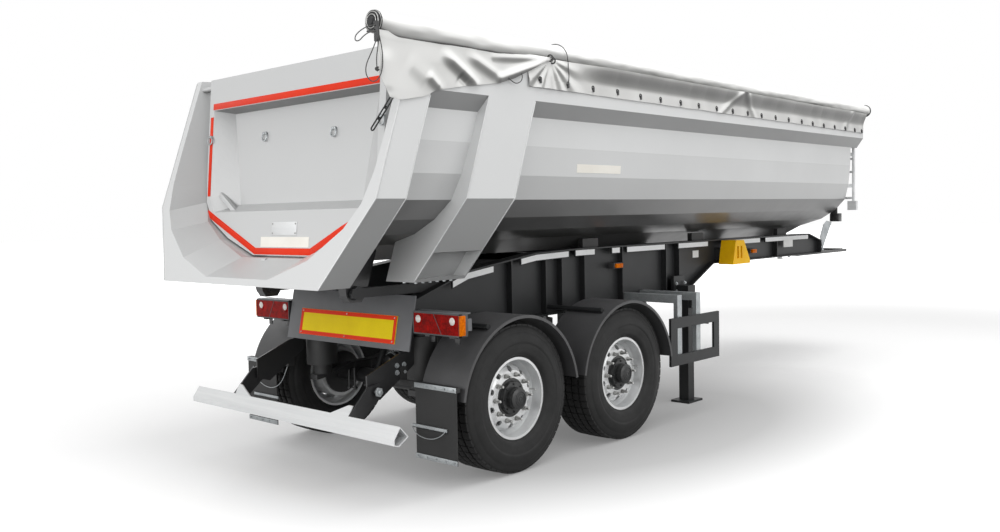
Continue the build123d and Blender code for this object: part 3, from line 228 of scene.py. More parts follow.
def make_materials():
    """Every finish on the trailer, by the name it is used under."""
    return {
        "body": body_paint("pale_grey_body_paint", 1.0),
        # The gate is the same paint, made a little darker
        "gate": body_paint("pale_grey_gate_paint", 0.84),
        # Chassis enamel reads as charcoal with a dusty bloom
        "frame": finish("charcoal_chassis_enamel", "#222324", "#191A1B", 0.46, 1.6, Specular_IOR_Level=0.35),
        "panel": finish("charcoal_panel_enamel", "#66676A", "#545556", 0.5, 1.6, Coat_Weight=0.05),
        "black": finish("black_chassis_enamel", "#1B1B1C", "#141415", 0.42, 2.0, Coat_Weight=0.15),
        # Zinc shows crystals a few millimetres across
        "galvanised": finish("hot_dip_galvanised_steel", "#B4B8B9", "#989C9E", 0.45, 9.0, 120.0, 0.0001, 0.25,
                             cells=True, Metallic=0.6),
        "steel": finish("zinc_plated_steel", "#B9B9B7", "#929290", 0.34, 8.0, 400.0, Metallic=0.85),
        "chrome": finish("hard_chromed_tube", "#D5D7D8", "#C9CBCC", 0.14, 4.0, 60.0, 0.00005, 0.05,
                         Metallic=1.0),
        # Extruded aluminium is drawn out along its length
        "aluminium": finish("extruded_aluminium", "#DFE0E0", "#C7C9CA", 0.42, 3.0, 90.0, 0.0001, 0.2,
                            (3, 0.15, 3), Metallic=0.3),
        "rim": finish("silver_rim_enamel", "#E2E3E3", "#C4C5C6", 0.38, 5.0, 300.0, Metallic=0.55,
                      Coat_Weight=0.15),
        "hub": finish("black_hub_enamel", "#1A1B1B", "#101111", 0.42, 12.0, 250.0, Coat_Weight=0.15),
        # Rubber is dull, and brown-grey where dust has settled
        "tyre": finish("tyre_rubber", "#212121", "#181818", 0.66, 7.0, 500.0, 0.0004, 0.2,
                       Specular_IOR_Level=0.3),
        "rubber": finish("black_moulded_rubber", "#1B1B1B", "#131313", 0.6, 3.0, 300.0, 0.0003),
        "plastic": finish("black_polyethylene", "#434344", "#353536", 0.48, 2.0, 400.0),
        # Reflective films are made of small cells under a clear skin
        "marker": finish("yellow_retroreflective_film", "#FBE000", "#EBCB00", 0.45, 2.0, 260.0, 0.0001,
                         **REFLECTIVE),
        "border": finish("red_fluorescent_film", "#F03A08", "#DC2C04", 0.45, 2.0, 260.0, 0.0001,
                         **REFLECTIVE),
        "strip": finish("red_orange_reflective_strip", "#E8380E", "#D82A08", 0.45, 1.5, 260.0, 0.0001,
                        **REFLECTIVE),
        "tape": finish("silver_reflective_tape", "#F4F4F4", "#E2E3E3", 0.38, 3.0, 260.0, 0.0001, cells=True),
        # Lamp lenses are moulded with small prisms on their inner face
        "lamp": finish("red_lamp_lens", "#A80A02", "#6E0501", **LENS),
        "amber": finish("amber_lamp_lens", "#EE7E00", "#C65C00", **LENS),
        "clear": finish("clear_lamp_lens", "#F2EFEA", "#D8D4CE", 0.2, 20.0, 80.0, 0.0006, 0.06, cells=True),
        "chock": finish("yellow_moulded_chock", "#FFC800", "#F2B400", 0.5, 6.0, 300.0, 0.0004,
                        Specular_IOR_Level=0.3),
        # Painted shade: the tarp's tones run dark on faces that look down and pale on faces that look up
        "tarp": tarp_cloth("white_coated_tarp_cloth", (
            (0.0, "#2A2A2A"), (0.3, "#666665"), (0.52, "#858583"), (0.64, "#A6A6A4"), (0.76, "#DADAD8"),
            (1.0, "#ECECEA"),
        )),
        # Wound up, the same cloth has a steeper ramp of painted shade: it goes dark only at the very bottom,
        # as a painted shadow line
        "roll": tarp_cloth("wound_tarp_cloth", (
            (0.0, "#2A2A2A"), (0.06, "#4A4A49"), (0.2, "#A2A2A0"), (0.45, "#BEBEBC"), (0.7, "#DCDCDA"),
            (1.0, "#EEEEEC"),
        )),
        "cord": finish("grey_braided_cord", "#4A4A49", "#2E2E2E", 0.7, 60.0, 900.0, 0.0006),
        "cream": finish("cream_label_film", "#F3F0E8", "#E8E4DA", 0.4, 3.0),
        "white": finish("white_label_film", "#ECECEA", "#DEDEDC", 0.4, 3.0),
    }


# Which carried-over nodes take each finish. The rest of them are body.
FINISHED = {
    "frame": ("frame_beams", "cross_members", "landing_sleeves", "landing_feet", "mudguard_tubes",
              "side_guards", "air_tanks", "ram_tube"),
    "black": ("coupler_plate", "axle_beams", "suspension_arms", "underrun_brackets", "underrun_arms",
              "pivot_ears"),
    "steel": ("kingpin",),
    "rubber": ("air_springs", "mudflaps", "body_rests"),
    "plastic": ("mudguards",),
    "panel": ("rear_panel",),
    "marker": ("marker_plate",),
    "lamp": ("rear_lamps",),
    "galvanised": ("side_guard_brackets", "hose_stand"),
    "chock": ("wheel_chocks",),
    "aluminium": ("underrun_bar", "ladder"),
    "gate": ("tailgate",),
    "tarp": ("tarp_roll", "tarp_skirt", "tarp_flap"),
    "tyre": ("tyre_",),
    "rim": ("wheel_rear", "wheel_front"),
    "chrome": ("ram_stage",),
}


def finish_cad_nodes():
    """Give each carried-over node its material, by how its name starts."""
    for name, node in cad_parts.items():
        chosen = "body"
        for finish_name, starts in FINISHED.items():
            if name.startswith(starts):
                chosen = finish_name
        for slot in node.material_slots:
            slot.material = MATERIALS[chosen]


def make_camera():
    """The photograph's own viewpoint."""
    data = bpy.data.cameras.new("photo_camera")
    data.sensor_width = SENSOR
    data.lens = FOCAL_PIXELS / IMAGE_WIDTH * SENSOR
    data.shift_y = (PRINCIPAL_ROW - IMAGE_HEIGHT / 2) / IMAGE_WIDTH
    data.clip_end = CLIP_END
    yaw, pitch, roll = radians(CAMERA_YAW), radians(CAMERA_PITCH), radians(CAMERA_ROLL)
    forward = Vector((cos(pitch) * cos(yaw), cos(pitch) * sin(yaw), sin(pitch)))
    right = Vector((sin(yaw), -cos(yaw), 0))
    up = right.cross(forward)
    rolled_right = cos(roll) * right + sin(roll) * up
    rolled_up = -sin(roll) * right + cos(roll) * up
    turn = Matrix((rolled_right, rolled_up, -forward)).transposed().to_4x4()
    camera = linked("photo_camera", data)
    camera.matrix_world = Matrix.Translation(at(*CAMERA_PLACE)) @ turn
    bpy.context.scene.camera = camera


def seen_directly(tree):
    """1 for camera, glossy and transmission rays, and 0 for light that bounces onto the trailer."""
    path = add(tree, "ShaderNodeLightPath").outputs
    kind, most = "ShaderNodeMath", "MAXIMUM"
    first = add(tree, kind, {0: path["Is Camera Ray"], 1: path["Is Glossy Ray"]}, operation=most)
    return add(tree, kind, {0: first, 1: path["Is Transmission Ray"]}, operation=most)


def make_floor():
    """A floor that keeps the trailer's soft shadow, has a painted shadow patch under it, and fades to white
    away from it.
    """
    mesh = bpy.data.meshes.new("studio_floor")
    corners = [(FLOOR_HALF * x, FLOOR_HALF * y, 0) for x, y in ((-1, -1), (1, -1), (1, 1), (-1, 1))]
    mesh.from_pydata(corners, [], [(0, 1, 2, 3)])
    floor = linked("studio_floor", mesh)
    made, tree, shader, place = material("studio_floor", Roughness=0.9, Specular_IOR_Level=0.05)
    seen = seen_directly(tree)
    # Painted shadow: a grey patch under the trailer, mid grey in its middle and near white at its reach
    moved = add(tree, "ShaderNodeMapping", {"Vector": place, "Location": SHADOW_PATCH_PLACE, "Scale": SHADOW_PATCH_SCALE})
    painted_shadow_distance = add(tree, "ShaderNodeVectorMath", {0: moved}, operation="LENGTH").outputs["Value"]
    tone = add(tree, "ShaderNodeValToRGB", {"Fac": painted_shadow_distance}, (
        (0.0, "#8E8E8E"), (0.45, "#A6A6A6"), (0.75, "#D8D8D8"), (1.0, "#F0F0F0"),
    ))
    colour = add(tree, "ShaderNodeMix", {0: seen, 6: linear(BOUNCE_GREY), 7: tone}, data_type="RGBA")
    oval = add(tree, "ShaderNodeMapping", {"Vector": place, "Scale": FLOOR_OVAL})
    reach = add(tree, "ShaderNodeVectorMath", {0: oval}, operation="LENGTH").outputs["Value"]
    fade = add(tree, "ShaderNodeMapRange", {
        "Value": reach, 1: FLOOR_NEAR, 2: FLOOR_FAR, 3: FLOOR_GLOW_NEAR, 4: FLOOR_GLOW_FAR,
    }, interpolation_type="SMOOTHSTEP")
    glow = add(tree, "ShaderNodeMath", {0: seen, 1: fade}, operation="MULTIPLY")
    fill(tree, shader, {"Base Color": colour.outputs[2], "Emission Strength": glow, "Emission Color": WHITE})
    mesh.materials.append(made)


def make_world():
    """White behind the trailer, and a plain soft level of light on it."""
    world = bpy.data.worlds.new("studio")
    bpy.context.scene.world = world
    world.use_nodes = True
    tree = world.node_tree
    strength = add(tree, "ShaderNodeMapRange", {"Value": seen_directly(tree), 3: WORLD_AMBIENT, 4: 1.0})
    fill(tree, tree.nodes["Background"], {"Color": WHITE, "Strength": strength})


def make_lights():
    """The soft boxes, each turned to its aim."""
    for name, place, aim, width, height, power in LIGHTS:
        data = bpy.data.lights.new(name, "AREA")
        data.shape = "RECTANGLE"
        data.size = width
        data.size_y = height
        data.energy = power
        lamp = linked(name, data)
        lamp.location = at(*place)
        lamp.rotation_euler = (at(*aim) - at(*place)).to_track_quat("-Z", "Y").to_euler()


def shape():
    """Points and faces of a piece in the making."""
    return [], []


def put(made, points, faces):
    """Add points and faces to a shape."""
    start = len(made[0])
    made[0].extend(Vector(point) for point in points)
    made[1].extend(tuple(start + index for index in face) for face in faces)


def bands(rows, width, closed):
    """Four-sided faces between rings of points that lie one after another."""
    faces = []
    for row in range(rows if closed else rows - 1):
        a, b = row * width, (row + 1) % rows * width
        faces += [(a + k, a + (k + 1) % width, b + (k + 1) % width, b + k) for k in range(width)]
    if not closed:
        faces += [tuple(range(width)), tuple(range((rows - 1) * width, rows * width))]
    return faces


def circle(side, up, radius, steps):
    """Steps round a circle that lies in two directions."""
    turns = [2 * pi * step / steps for step in range(steps)]
    return [radius * (cos(turn) * side + sin(turn) * up) for turn in turns]


def prism(made, outline, run):
    """An outline pushed along a run."""
    near = [Vector(point) for point in outline]
    far = [point + Vector(run) for point in near]
    count = len(near)
    faces = [tuple(reversed(range(count))), tuple(range(count, 2 * count))]
    faces += [(i, (i + 1) % count, count + (i + 1) % count, count + i) for i in range(count)]
    put(made, near + far, faces)


def block(made, x, y, z):
    """A box between a low and a high value on each axis."""
    corners = [(x[0], y[0], z[0]), (x[1], y[0], z[0]), (x[1], y[1], z[0]), (x[0], y[1], z[0])]
    prism(made, corners, (0, 0, z[1] - z[0]))


def tube(made, path, radius, sides=10, closed=False):
    """A round bar along a path."""
    path = [Vector(point) for point in path]
    count = len(path)
    side = None
    points = []
    for index, point in enumerate(path):
        ahead = path[(index + 1) % count] if closed or index < count - 1 else point
        back = path[index - 1] if closed or index else point
        along = (ahead - back).normalized()
        if side is None:
            side = along.orthogonal().normalized()
        side = (side - along * side.dot(along)).normalized()
        points += [point + out for out in circle(side, along.cross(side), radius, sides)]
    put(made, points, bands(count, sides, closed))


def lathe(made, centre, profile, steps=48, axis=(0, 1, 0), ring=False):
    """A turned piece: profile is (offset along the axis, radius). A ring's profile closes on itself."""
    axis = Vector(axis)
    side = axis.orthogonal().normalized()
    up = axis.cross(side)
    points = []
    for offset, radius in profile:
        points += [Vector(centre) + offset * axis + out for out in circle(side, up, radius, steps)]
    put(made, points, bands(len(profile), steps, ring))


def torus(made, centre, axis, ring, wire, steps=20, sides=8):
    """A round ring of wire."""
    axis = Vector(axis).normalized()
    side = axis.orthogonal().normalized()
    path = [Vector(centre) + out for out in circle(side, axis.cross(side), ring, steps)]
    tube(made, path, wire, sides, closed=True)


def across(side, low, high):
    """A span across the trailer, on the right for side -1."""
    return tuple(sorted((side * low, side * high)))


def outward(side, profile):
    """A lathe profile whose offsets run outward on one side."""
    return [(side * offset, radius) for offset, radius in profile]


def beside(value, half):
    """A span that reaches half its width to each side of a value."""
    return (value - half, value + half)


def line_height(line, x):
    """Height at x of a line given by its corners."""
    for (x0, z0), (x1, z1) in zip(line, line[1:]):
        if x0 <= x <= x1:
            return z0 + (z1 - z0) * (x - x0) / (x1 - x0)
    return line[0][1] if x < line[0][0] else line[-1][1]


def dress(mesh, name, chosen, body, sharp=35.0):
    """Turn a finished mesh into a piece that rides on a body."""
    mesh.materials.clear()
    mesh.materials.append(MATERIALS[chosen])
    mesh.polygons.foreach_set("use_smooth", [True] * len(mesh.polygons))
    mesh.set_sharp_from_angle(angle=radians(sharp))
    piece = linked(name, mesh)
    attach(piece, body)
    return piece


def mesh_of(name, points, faces, turn=True, bevel=0.0, sharp=35.0):
    """A mesh with its normals turned outward and its hard edges rounded by a small bevel."""
    mesh = bpy.data.meshes.new(name)
    mesh.from_pydata(points, [], faces)
    work = bmesh.new()
    work.from_mesh(mesh)
    if turn:
        bmesh.ops.recalc_face_normals(work, faces=work.faces)
    if bevel:
        paired = [edge for edge in work.edges if len(edge.link_faces) == 2]
        hard = [edge for edge in paired if edge.calc_face_angle() > radians(sharp)]
        bmesh.ops.bevel(
            work, geom=hard, offset=bevel, segments=2, profile=0.5, affect="EDGES", clamp_overlap=True,
        )
    work.to_mesh(mesh)
    work.free()
    return mesh


def make(name, made, chosen, body, bevel=0.0, sharp=35.0, turn=True):
    """A piece from a shape."""
    mesh = mesh_of(name, [at(*point) for point in made[0]], made[1], turn, bevel, sharp)
    return dress(mesh, name, chosen, body, sharp)


def make_blocks(name, sizes, chosen, body, bevel=0.0):
    """A piece made of blocks."""
    made = shape()
    for size in sizes:
        block(made, *size)
    return make(name, made, chosen, body, bevel)


def tree_with(name, inputs):
    """A geometry node tree with named inputs: name, kind of socket."""
    tree = bpy.data.node_groups.new(name, "GeometryNodeTree")
    for label, kind in (("Geometry", "Geometry"), *inputs, ("Finish", "Material")):
        tree.interface.new_socket(label, in_out="INPUT", socket_type=f"NodeSocket{kind}")
    tree.interface.new_socket("Geometry", in_out="OUTPUT", socket_type="NodeSocketGeometry")
    return tree, add(tree, "NodeGroupInput").outputs


def end_tree(tree, given, geometry):
    """Realize the copies and give them their finish."""
    real = add(tree, "GeometryNodeRealizeInstances", {0: geometry})
    painted = add(tree, "GeometryNodeSetMaterial", {"Geometry": real, "Material": given["Finish"]})
    add(tree, "NodeGroupOutput", {0: painted})
    return tree


def faced_copies(tree, given, part):
    """Copies of a part at the points, each turned to face as its point says."""
    facing = add(tree, "GeometryNodeInputNamedAttribute", {"Name": "facing"}, data_type="FLOAT_VECTOR")
    turned = add(tree, "FunctionNodeAlignRotationToVector", {"Vector": facing})
    sockets = {"Points": given["Geometry"], "Instance": part, "Rotation": turned}
    return end_tree(tree, given, add(tree, "GeometryNodeInstanceOnPoints", sockets))


def bolt_tree():
    """A hexagon head on a washer at each point."""
    labels = [f"{part} {size}" for part in ("Head", "Washer") for size in ("radius", "height")]
    tree, given = tree_with("bolt_rows", [(label, "Float") for label in labels])
    sockets = {"Vertices": 6, "Radius": given["Head radius"], "Depth": given["Head height"]}
    head = add(tree, "GeometryNodeMeshCylinder", sockets)
    sockets = {"Vertices": 18, "Radius": given["Washer radius"], "Depth": given["Washer height"]}
    washer = add(tree, "GeometryNodeMeshCylinder", sockets)
    half = add(tree, "ShaderNodeMath", {0: given["Head height"], 1: 0.5}, operation="MULTIPLY")
    rise = add(tree, "ShaderNodeMath", {0: half, 1: given["Washer height"]}, operation="ADD")
    lift = add(tree, "ShaderNodeCombineXYZ", {"Z": rise})
    raised = add(tree, "GeometryNodeTransform", {"Geometry": head, "Translation": lift})
    both = add(tree, "GeometryNodeJoinGeometry", {0: raised})
    fill(tree, both, {0: washer})
    return faced_copies(tree, given, both)


def eyelet_tree():
    """A rolled ring at each point."""
    tree, given = tree_with("eyelet_rows", (("Ring radius", "Float"), ("Wire radius", "Float")))
    ring = add(tree, "GeometryNodeCurvePrimitiveCircle", {0: 18, "Radius": given["Ring radius"]})
    wire = add(tree, "GeometryNodeCurvePrimitiveCircle", {0: 8, "Radius": given["Wire radius"]})
    solid = add(tree, "GeometryNodeCurveToMesh", {"Curve": ring, "Profile Curve": wire})
    return faced_copies(tree, given, solid)


def turned_tree():
    """A part repeated round a wheel's axle."""
    tree, given = tree_with("turned_repeats", (("Count", "Int"), ("Centre", "Vector")))
    points = add(tree, "GeometryNodePoints", {"Count": given["Count"], "Position": given["Centre"]})
    step = add(tree, "ShaderNodeMath", {0: 2 * pi, 1: given["Count"]}, operation="DIVIDE")
    index = add(tree, "GeometryNodeInputIndex")
    angle = add(tree, "ShaderNodeMath", {0: index, 1: step}, operation="MULTIPLY")
    turn = add(tree, "ShaderNodeCombineXYZ", {"Y": angle})
    sockets = {"Points": points, "Instance": given["Geometry"], "Rotation": turn}
    return end_tree(tree, given, add(tree, "GeometryNodeInstanceOnPoints", sockets))


def repeated(name, tree, mesh, sizes, chosen, body):
    """The mesh that a node tree makes, as one plain piece."""
    holder = linked(name + "_holder", mesh)
    modifier = holder.modifiers.new("repeats", "NODES")
    modifier.node_group = tree
    given = {**sizes, "Finish": MATERIALS[chosen]}
    for item in tree.interface.items_tree:
        if item.in_out == "INPUT" and item.name in given:
            modifier[item.identifier] = given[item.name]
    holder.update_tag()
    graph = bpy.context.evaluated_depsgraph_get()
    plain = bpy.data.meshes.new_from_object(holder.evaluated_get(graph))
    holder.modifiers.clear()
    bpy.data.objects.remove(holder)
    return dress(plain, name, chosen, body)


def spots(places):
    """A mesh of points, each with the way it faces: place, facing."""
    mesh = bpy.data.meshes.new("spots")
    mesh.from_pydata([at(*place) for place, facing in places], [], [])
    facings = mesh.attributes.new("facing", "FLOAT_VECTOR", "POINT")
    facings.data.foreach_set("vector", [value for place, facing in places for value in facing])
    return mesh


def bolt_sizes(head, height, washer, thick):
    """A bolt head's sizes, by the bolt tree's own names for them."""
    return {"Head radius": head, "Head height": height, "Washer radius": washer, "Washer height": thick}


def bolts(name, places, radius, body, chosen="galvanised"):
    """Bolt heads of one size on one body, in usual proportions."""
    sizes = bolt_sizes(radius, radius * 0.8, radius * 1.5, radius * 0.25)
    return repeated(name, TREES["bolts"], spots(places), sizes, chosen, body)


# Wheels and tyres
AXLES = (("rear", 0.0), ("front", 1.31))
SIDES = (("right", -1), ("left", 1))
AXLE_Z = 0.536
WHEEL_Y = 1.02
DISC_FACE = 0.096
TREAD_PITCHES = 54
TREAD_FLOOR = 0.5215
TREAD_ROOT = TREAD_FLOOR - 0.004
# Tread ribs: inner edge, outer edge, top radius
TREAD_RIBS = (
    (-0.16, -0.101, 0.533), (-0.089, -0.037, 0.5355), (-0.026, 0.026, 0.536), (0.037, 0.089, 0.5355),
    (0.101, 0.16, 0.533),
)
TREAD_ZIGZAG = 0.0026
SIPE = 0.1
TREAD_MARKS = (-0.5 + SIPE / 2, -0.25, 0.0, 0.25, 0.5 - SIPE / 2)
# One side of the carcass, from the tread floor to the bead: offset, radius
CARCASS = (
    (0.0, TREAD_FLOOR), (0.12, TREAD_FLOOR), (0.1585, 0.52), (0.1635, 0.516), (0.169, 0.506), (0.1725, 0.493),
    (0.177, 0.48), (0.1772, 0.474), (0.1812, 0.47), (0.186, 0.454), (0.1905, 0.433), (0.1922, 0.412),
    (0.1918, 0.4), (0.19, 0.3985), (0.1898, 0.389), (0.1885, 0.376), (0.185, 0.356), (0.1808, 0.342),
    (0.1802, 0.336), (0.174, 0.322), (0.164, 0.312), (0.1535, 0.3065), (0.1505, 0.302), (0.15, 0.296),
    (0.14, 0.287),
)
TYRE_INSIDE = ((0.132, 0.3), (-0.132, 0.3))
NUTS = 10
NUT_CIRCLE = 0.1675
NUT = (0.016, 0.02, 0.0195, 0.004)
STUD_END = ((-0.004, 0.0095), (0.052, 0.0095), (0.055, 0.007))
HUB = (
    (0.0004, 0.141), (0.003, 0.139), (0.0034, 0.1215), (0.0275, 0.1135), (0.0315, 0.08), (0.06, 0.079),
    (0.0605, 0.082), (0.07, 0.082), (0.0705, 0.078), (0.0818, 0.0775), (0.0935, 0.06), (0.0936, 0.0),
)
# The hub cap's raised rings, and the screws round its flange
CAP_FACE = 0.094
CAP_RINGS = ((0.05, 0.003), (0.034, 0.002), (0.016, 0.0025))
CAP_SCREWS = 8
CAP_SCREW_CIRCLE = 0.1
CAP_SCREW_SEAT = 0.03
CAP_SCREW = ((-0.004, 0.008), (0.006, 0.008), (0.0075, 0.006))
VALVE_ROOT = (0.215, -0.01, 0.03)
VALVE_BENDS = ((0.004, 0.022), (0.004, 0.052))
VALVE_RADIUS = 0.0045


def round_wheel(centre, radius, count):
    """Places round a wheel's axle."""
    turns = [2 * pi * index / count for index in range(count)]
    return [centre + Vector((radius * cos(turn), 0, radius * sin(turn))) for turn in turns]


def tread_pitch():
    """One pitch of the tread: five rib blocks with wavering edges, on the carcass at angle 0."""
    made = shape()
    for rib, (low, high, top) in enumerate(TREAD_RIBS):
        points = []
        for index, mark in enumerate(TREAD_MARKS):
            shift = TREAD_ZIGZAG * (1 if index % 2 else -1)
            angle = 2 * pi / TREAD_PITCHES * mark
            left = low + (shift if rib else 0)
            right = high + (shift if rib < len(TREAD_RIBS) - 1 else 0)
            for y, radius in ((left, TREAD_ROOT), (right, TREAD_ROOT), (right, top - 0.001),
                              (right - 0.003, top), (left + 0.003, top), (left, top - 0.001)):
                points.append((radius * cos(angle), y, radius * sin(angle)))
        put(made, points, bands(len(TREAD_MARKS), 6, False))
    return mesh_of("tread_pitch", *made)


def dress_wheel(axle, x, side_name, side):
    """Tyre, wheel nuts, black hub and its cap on one wheel."""
    wheel = f"{axle}_{side_name}"
    body = wheel + "_wheel"
    centre = Vector((x, side * WHEEL_Y, AXLE_Z))
    made = shape()
    profile = outward(-side, reversed(CARCASS[1:])) + outward(side, CARCASS) + outward(side, TYRE_INSIDE)
    lathe(made, centre, profile, 108, ring=True)
    carcass = make("carcass_" + wheel, made, "tyre", body, sharp=50)
    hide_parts("tyre_" + wheel)
    sizes = {"Count": TREAD_PITCHES, "Centre": at(*centre)}
    repeated("tread_" + wheel, TREES["turned"], tread_pitch(), sizes, "tyre", body)
    face = centre + Vector((0, side * DISC_FACE, 0))
    places = round_wheel(face, NUT_CIRCLE, NUTS)
    nuts = spots([(place, (0, side, 0)) for place in places])
    repeated("wheel_nuts_" + wheel, TREES["bolts"], nuts, bolt_sizes(*NUT), "steel", body)
    ends = shape()
    for place in places:
        lathe(ends, place, outward(side, STUD_END), 14)
    make("stud_ends_" + wheel, ends, "steel", body)
    hub = shape()
    lathe(hub, face, outward(side, HUB))
    make("hub_cover_" + wheel, hub, "hub", body)
    cap = shape()
    for ring, wire in CAP_RINGS:
        torus(cap, face + side * Vector((0, CAP_FACE, 0)), (0, 1, 0), ring, wire, 36)
    for place in round_wheel(face + Vector((0, side * CAP_SCREW_SEAT, 0)), CAP_SCREW_CIRCLE, CAP_SCREWS):
        lathe(cap, place, outward(side, CAP_SCREW), 6)
    make("hub_cap_rings_" + wheel, cap, "frame", body)
    valve = shape()
    root = face + Vector((VALVE_ROOT[0], side * VALVE_ROOT[1], VALVE_ROOT[2]))
    tube(valve, [root] + [root + Vector((dx, side * dy, 0)) for dx, dy in VALVE_BENDS], VALVE_RADIUS)
    make("valve_" + wheel, valve, "steel", body)


# Tapes and side lamps on the frame's beams
TAPE_SPANS = (
    (-0.11, 0.345), (0.657, 1.275), (1.356, 1.638), (1.881, 2.01), (2.111, 2.747), (2.977, 3.543),
    (3.824, 4.653), (4.769, 5.857),
)
BEAM_TOP = ((-0.538, 1.232), (0.06, 1.43), (0.85, 1.53), (1.4, 1.545), (5.9, 1.548), (6.24, 1.46))
TAPE_DROP = 0.038
TAPE_HALF = 0.0225
TAPE_INSET = 0.008
CARRIER_HALF = 0.027
CARRIER_IN = 0.6395
CARRIER_OUT = 0.654
FILM = 0.0012
SIDE_LAMPS = ((1.961, 1.37), (4.468, 1.397))
SIDE_LAMP_FACE = 0.664
SIDE_LAMP_SCREWS = 0.057
SIDE_PLATE = ((5.215, 5.445), (-0.656, -0.649), (1.409, 1.499))
SIDE_LABEL = ((3.345, 3.455), (-0.593, -0.59), (1.375, 1.445))
BEAM_STUD_X = (5.18, 5.41, 5.67)


def ribbon(made, side, span, drop, half, y_in, y_out):
    """A strip on the beam's side that keeps to the line of the top flange."""
    marks = [span[0]] + [x for x, z in BEAM_TOP if span[0] < x < span[1]] + [span[1]]
    low, high = drop + half, drop - half
    for x0, x1 in zip(marks, marks[1:]):
        corners = ((x0, high), (x1, high), (x1, low), (x0, low))
        outline = [(x, side * y_in, line_height(BEAM_TOP, x) - below) for x, below in corners]
        prism(made, outline, (0, side * (y_out - y_in), 0))


def dress_beams():
    """Tape carriers with their tapes, side lamps, plates and the bolts under the beams."""
    carriers = shape()
    tapes = shape()
    housings = shape()
    lenses = shape()
    screws = []
    for side in (-1, 1):
        for span in TAPE_SPANS:
            ribbon(carriers, side, span, TAPE_DROP, CARRIER_HALF, CARRIER_IN, CARRIER_OUT)
            inner = (span[0] + TAPE_INSET, span[1] - TAPE_INSET)
            ribbon(tapes, side, inner, TAPE_DROP, TAPE_HALF, CARRIER_OUT, CARRIER_OUT + FILM)
        for x, z in SIDE_LAMPS:
            block(housings, beside(x, 0.062), across(side, 0.588, SIDE_LAMP_FACE), beside(z, 0.026))
            block(lenses, beside(x, 0.052), across(side, SIDE_LAMP_FACE - 0.0005, 0.686), beside(z, 0.02))
            for screw_x in beside(x, SIDE_LAMP_SCREWS):
                screws.append(((screw_x, side * SIDE_LAMP_FACE, z), (0, side, 0)))
    make("tape_carriers", carriers, "frame", "chassis")
    make("side_tapes", tapes, "tape", "chassis")
    make("side_lamp_housings", housings, "plastic", "chassis", 0.004)
    make("side_lamp_lenses", lenses, "amber", "chassis", 0.005)
    bolts("side_lamp_screws", screws, 0.0035, "chassis", "steel")
    make_blocks("blank_side_plate", [SIDE_PLATE], "white", "chassis", 0.001)
    make_blocks("blank_side_label", [SIDE_LABEL], "white", "chassis")
    studs = [((x, side * 0.625, 1.3005), (0, 0, -1)) for x in BEAM_STUD_X for side in (-1, 1)]
    bolts("beam_studs", studs, 0.014, "chassis")


# Marker and lamps on the leaning rear panel
PANEL_FOOT = (-0.613, 0.905)
PANEL_LEAN = 0.1974
MARKER_LOW = 0.9455
MARKER_HIGH = 1.1415
MARKER_HALF = 0.5645
MARKER_BORDER = 0.03
MARKER_FACE = 0.005
BORDER_FACE = 0.0072
LAMP_BACK = (-0.556, -0.498)
LAMP_RIM = (-0.583, -0.55)
LAMP_SPAN = (0.738, 1.195)
LAMP_HEIGHTS = (1.033, 1.189)
LAMP_FACE_X = -0.579
LAMP_RIM_SIDES = ((0.738, 0.745), (1.187, 1.19))
LAMP_RIM_EDGES = ((1.033, 1.043), (1.179, 1.189))
CLEAR_SPOTS = (0.79, 1.125)
LAMP_DISC = ((-0.004, 0.04), (0.001, 0.04), (0.0035, 0.035), (0.0036, 0.0))
CLEAR_DISC = ((-0.004, 0.027), (0.003, 0.027), (0.007, 0.021), (0.0085, 0.01), (0.0085, 0.0))
DIVIDER = ((0.94, 1.179), (0.945, 1.179), (1.02, 1.043), (1.015, 1.043))
LAMP_BRACKETS = (0.86, 1.1)
REARWARD = (-1, 0, 0)


def panel_x(z):
    """The rear panel's outer face, which leans."""
    return PANEL_FOOT[0] + PANEL_LEAN * (z - PANEL_FOOT[1])


